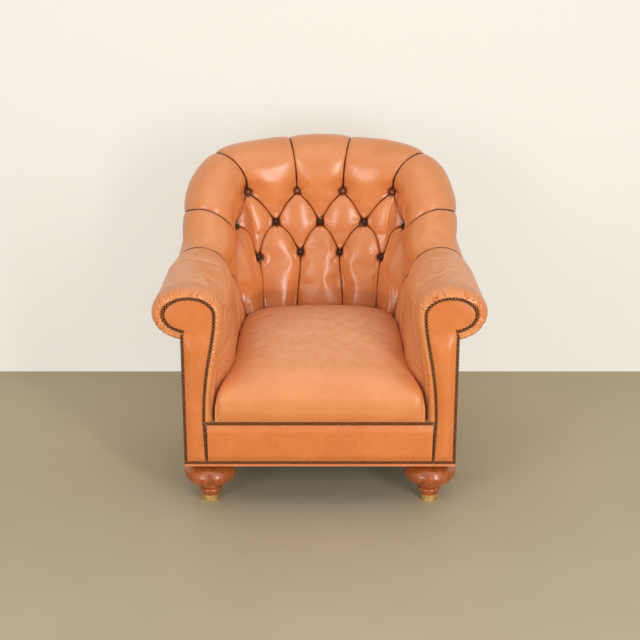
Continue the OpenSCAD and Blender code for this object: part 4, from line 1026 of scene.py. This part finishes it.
flat_panel("front_rail_facing", np.array([[-324, FOOT], [324, FOOT], [324, 274.2], [-324, 274.2]]),
           [np.array([[-RAIL_ROW, TOP_ROW], [RAIL_ROW, TOP_ROW]]), base_row], "front_rail_cover")

# The outside arms and the outside back are plain hides. They are turned in under the rolls at the top and
# under the rails at the bottom, and they meet at the rear posts, where nails close the joint.


def outside(u, w, o):
    """A point of the outside covers: w runs 0 to 1 from the underside of the roll to the bottom edge."""
    top, low = skin(u, 2 + 0 * u) - [0, 0, 1], along(foot, u)
    low = np.stack([low[..., 0], low[..., 1], FOOT + 0 * u], -1)
    return top + w[..., None] * (low - top) - np.asarray(o)[..., None] * outward(u)[0]


for name, start, end, hand, replaced, seed in (
        ("outside_arm_hide_right", 2.8 / STATION, 5.6, 1, "outside_arm_cover_right", 31),
        ("outside_arm_hide_left", 2.8 / STATION, 5.6, -1, "outside_arm_cover_left", 32),
        ("outside_back_hide", 5.604, 10.396, 1, "outside_back_cover", 33)):
    u, w = np.meshgrid(np.linspace(start, end, 85), np.linspace(0, 1, 49), indexing="ij")
    plain = outside(u, w, 0.0)
    edge_u, edge_w = np.minimum(u - start, end - u) * STATION, np.minimum(w, 1 - w) * 400
    free = ease(edge_u / 60) * ease(edge_w / 80)
    depth = 2.2 * swell(plain, 190, seed) * free + 0.5 * swell(plain, 60, seed + 1) * free
    depth = depth + 0.9 * np.exp(-(edge_u / 5) ** 2) + 0.9 * np.exp(-((1 - w) * 400 / 4) ** 2) - 1.2 * free
    inner = outside(u[::4, ::4], w[::4, ::4], depth[::4, ::4] + LEATHER)
    # Painted shade: a little deeper orange along the hides' upright edges, where they meet the panels and
    # each other.
    piece = shell(name, outside(u, w, depth) * [hand, 1, 1], inner * [hand, 1, 1], 4,
                  fold=fold_mark(30 - 10 * np.exp(-(edge_u / 4) ** 2)),
                  drawn=0.25 * np.exp(-(edge_u / 9) ** 2) + 0 * w, worn=0.25 * ease((w - 0.55) / 0.5))
    finish(piece, tan, replaced)

# Rows of domed nails in antiqued brass hold and trim the leather: up each scroll and round it, down the outer
# edge of each front post, along the top and bottom of the front rail, and down the joints of the outside
# back. They are nearly black round their edges and rubbed to a dull brown on their tops.
antique, tree, shader, place = surface("antiqued_brass_nails")
cloud = add(tree, "TexNoise", {"Vector": place, "Scale": 210, "Detail": 4, "Roughness": 0.7})
raised = add(tree, "Attribute", attribute_name="raised").outputs["Fac"]
aged = add(tree, "MapRange", {0: cloud, 1: 0.25, 2: 0.6, 3: 0.3})
rubbed = add(tree, "MapRange", {0: raised, 1: 0.6, 2: 1.0, 4: aged})
mixed = add(tree, "Mix", {0: rubbed, 6: linear("#240800"), 7: linear("#9A6036")}, data_type="RGBA")
dull = add(tree, "MapRange", {0: cloud, 3: 0.4, 4: 0.24})
feed(shader, {"Base Color": mixed, "Roughness": dull, "Metallic": 0.6})

NAILS = (10.3, 10.6, 3.6, 12, 1.6)  # mm: spacing, head width and height, shank length and width
right_scroll = np.concatenate([[[328.5, 0, BASE_ROW + 11]], scroll_top])
right_post = np.array([post_top, [POST_ROW, 0, BASE_ROW + 11]])
joint_u = np.full(50, 5.66)
joint, joint_out = outside(joint_u, np.linspace(0.02, 0.985, 50), 0.0), outward(joint_u)[0]
mirror = [-1, 1, 1]
for name, lines, facings in (
        ("scroll_nails_right", [right_scroll], None), ("scroll_nails_left", [right_scroll * mirror], None),
        ("post_nails_right", [right_post], None), ("post_nails_left", [right_post * mirror], None),
        ("front_rail_nails", [np.array([[-RAIL_ROW, 0, TOP_ROW], [RAIL_ROW, 0, TOP_ROW]])], None),
        ("base_nails", [np.array([[-POST_ROW, 0, BASE_ROW], [POST_ROW, 0, BASE_ROW]])], None),
        ("back_nails", [joint, joint * mirror], [joint_out, joint_out * mirror])):
    facings = facings or [line * 0 + [0, -1, 0] for line in lines]
    studs(name + "_row", lines, facings, NAILS, antique, name, 7)
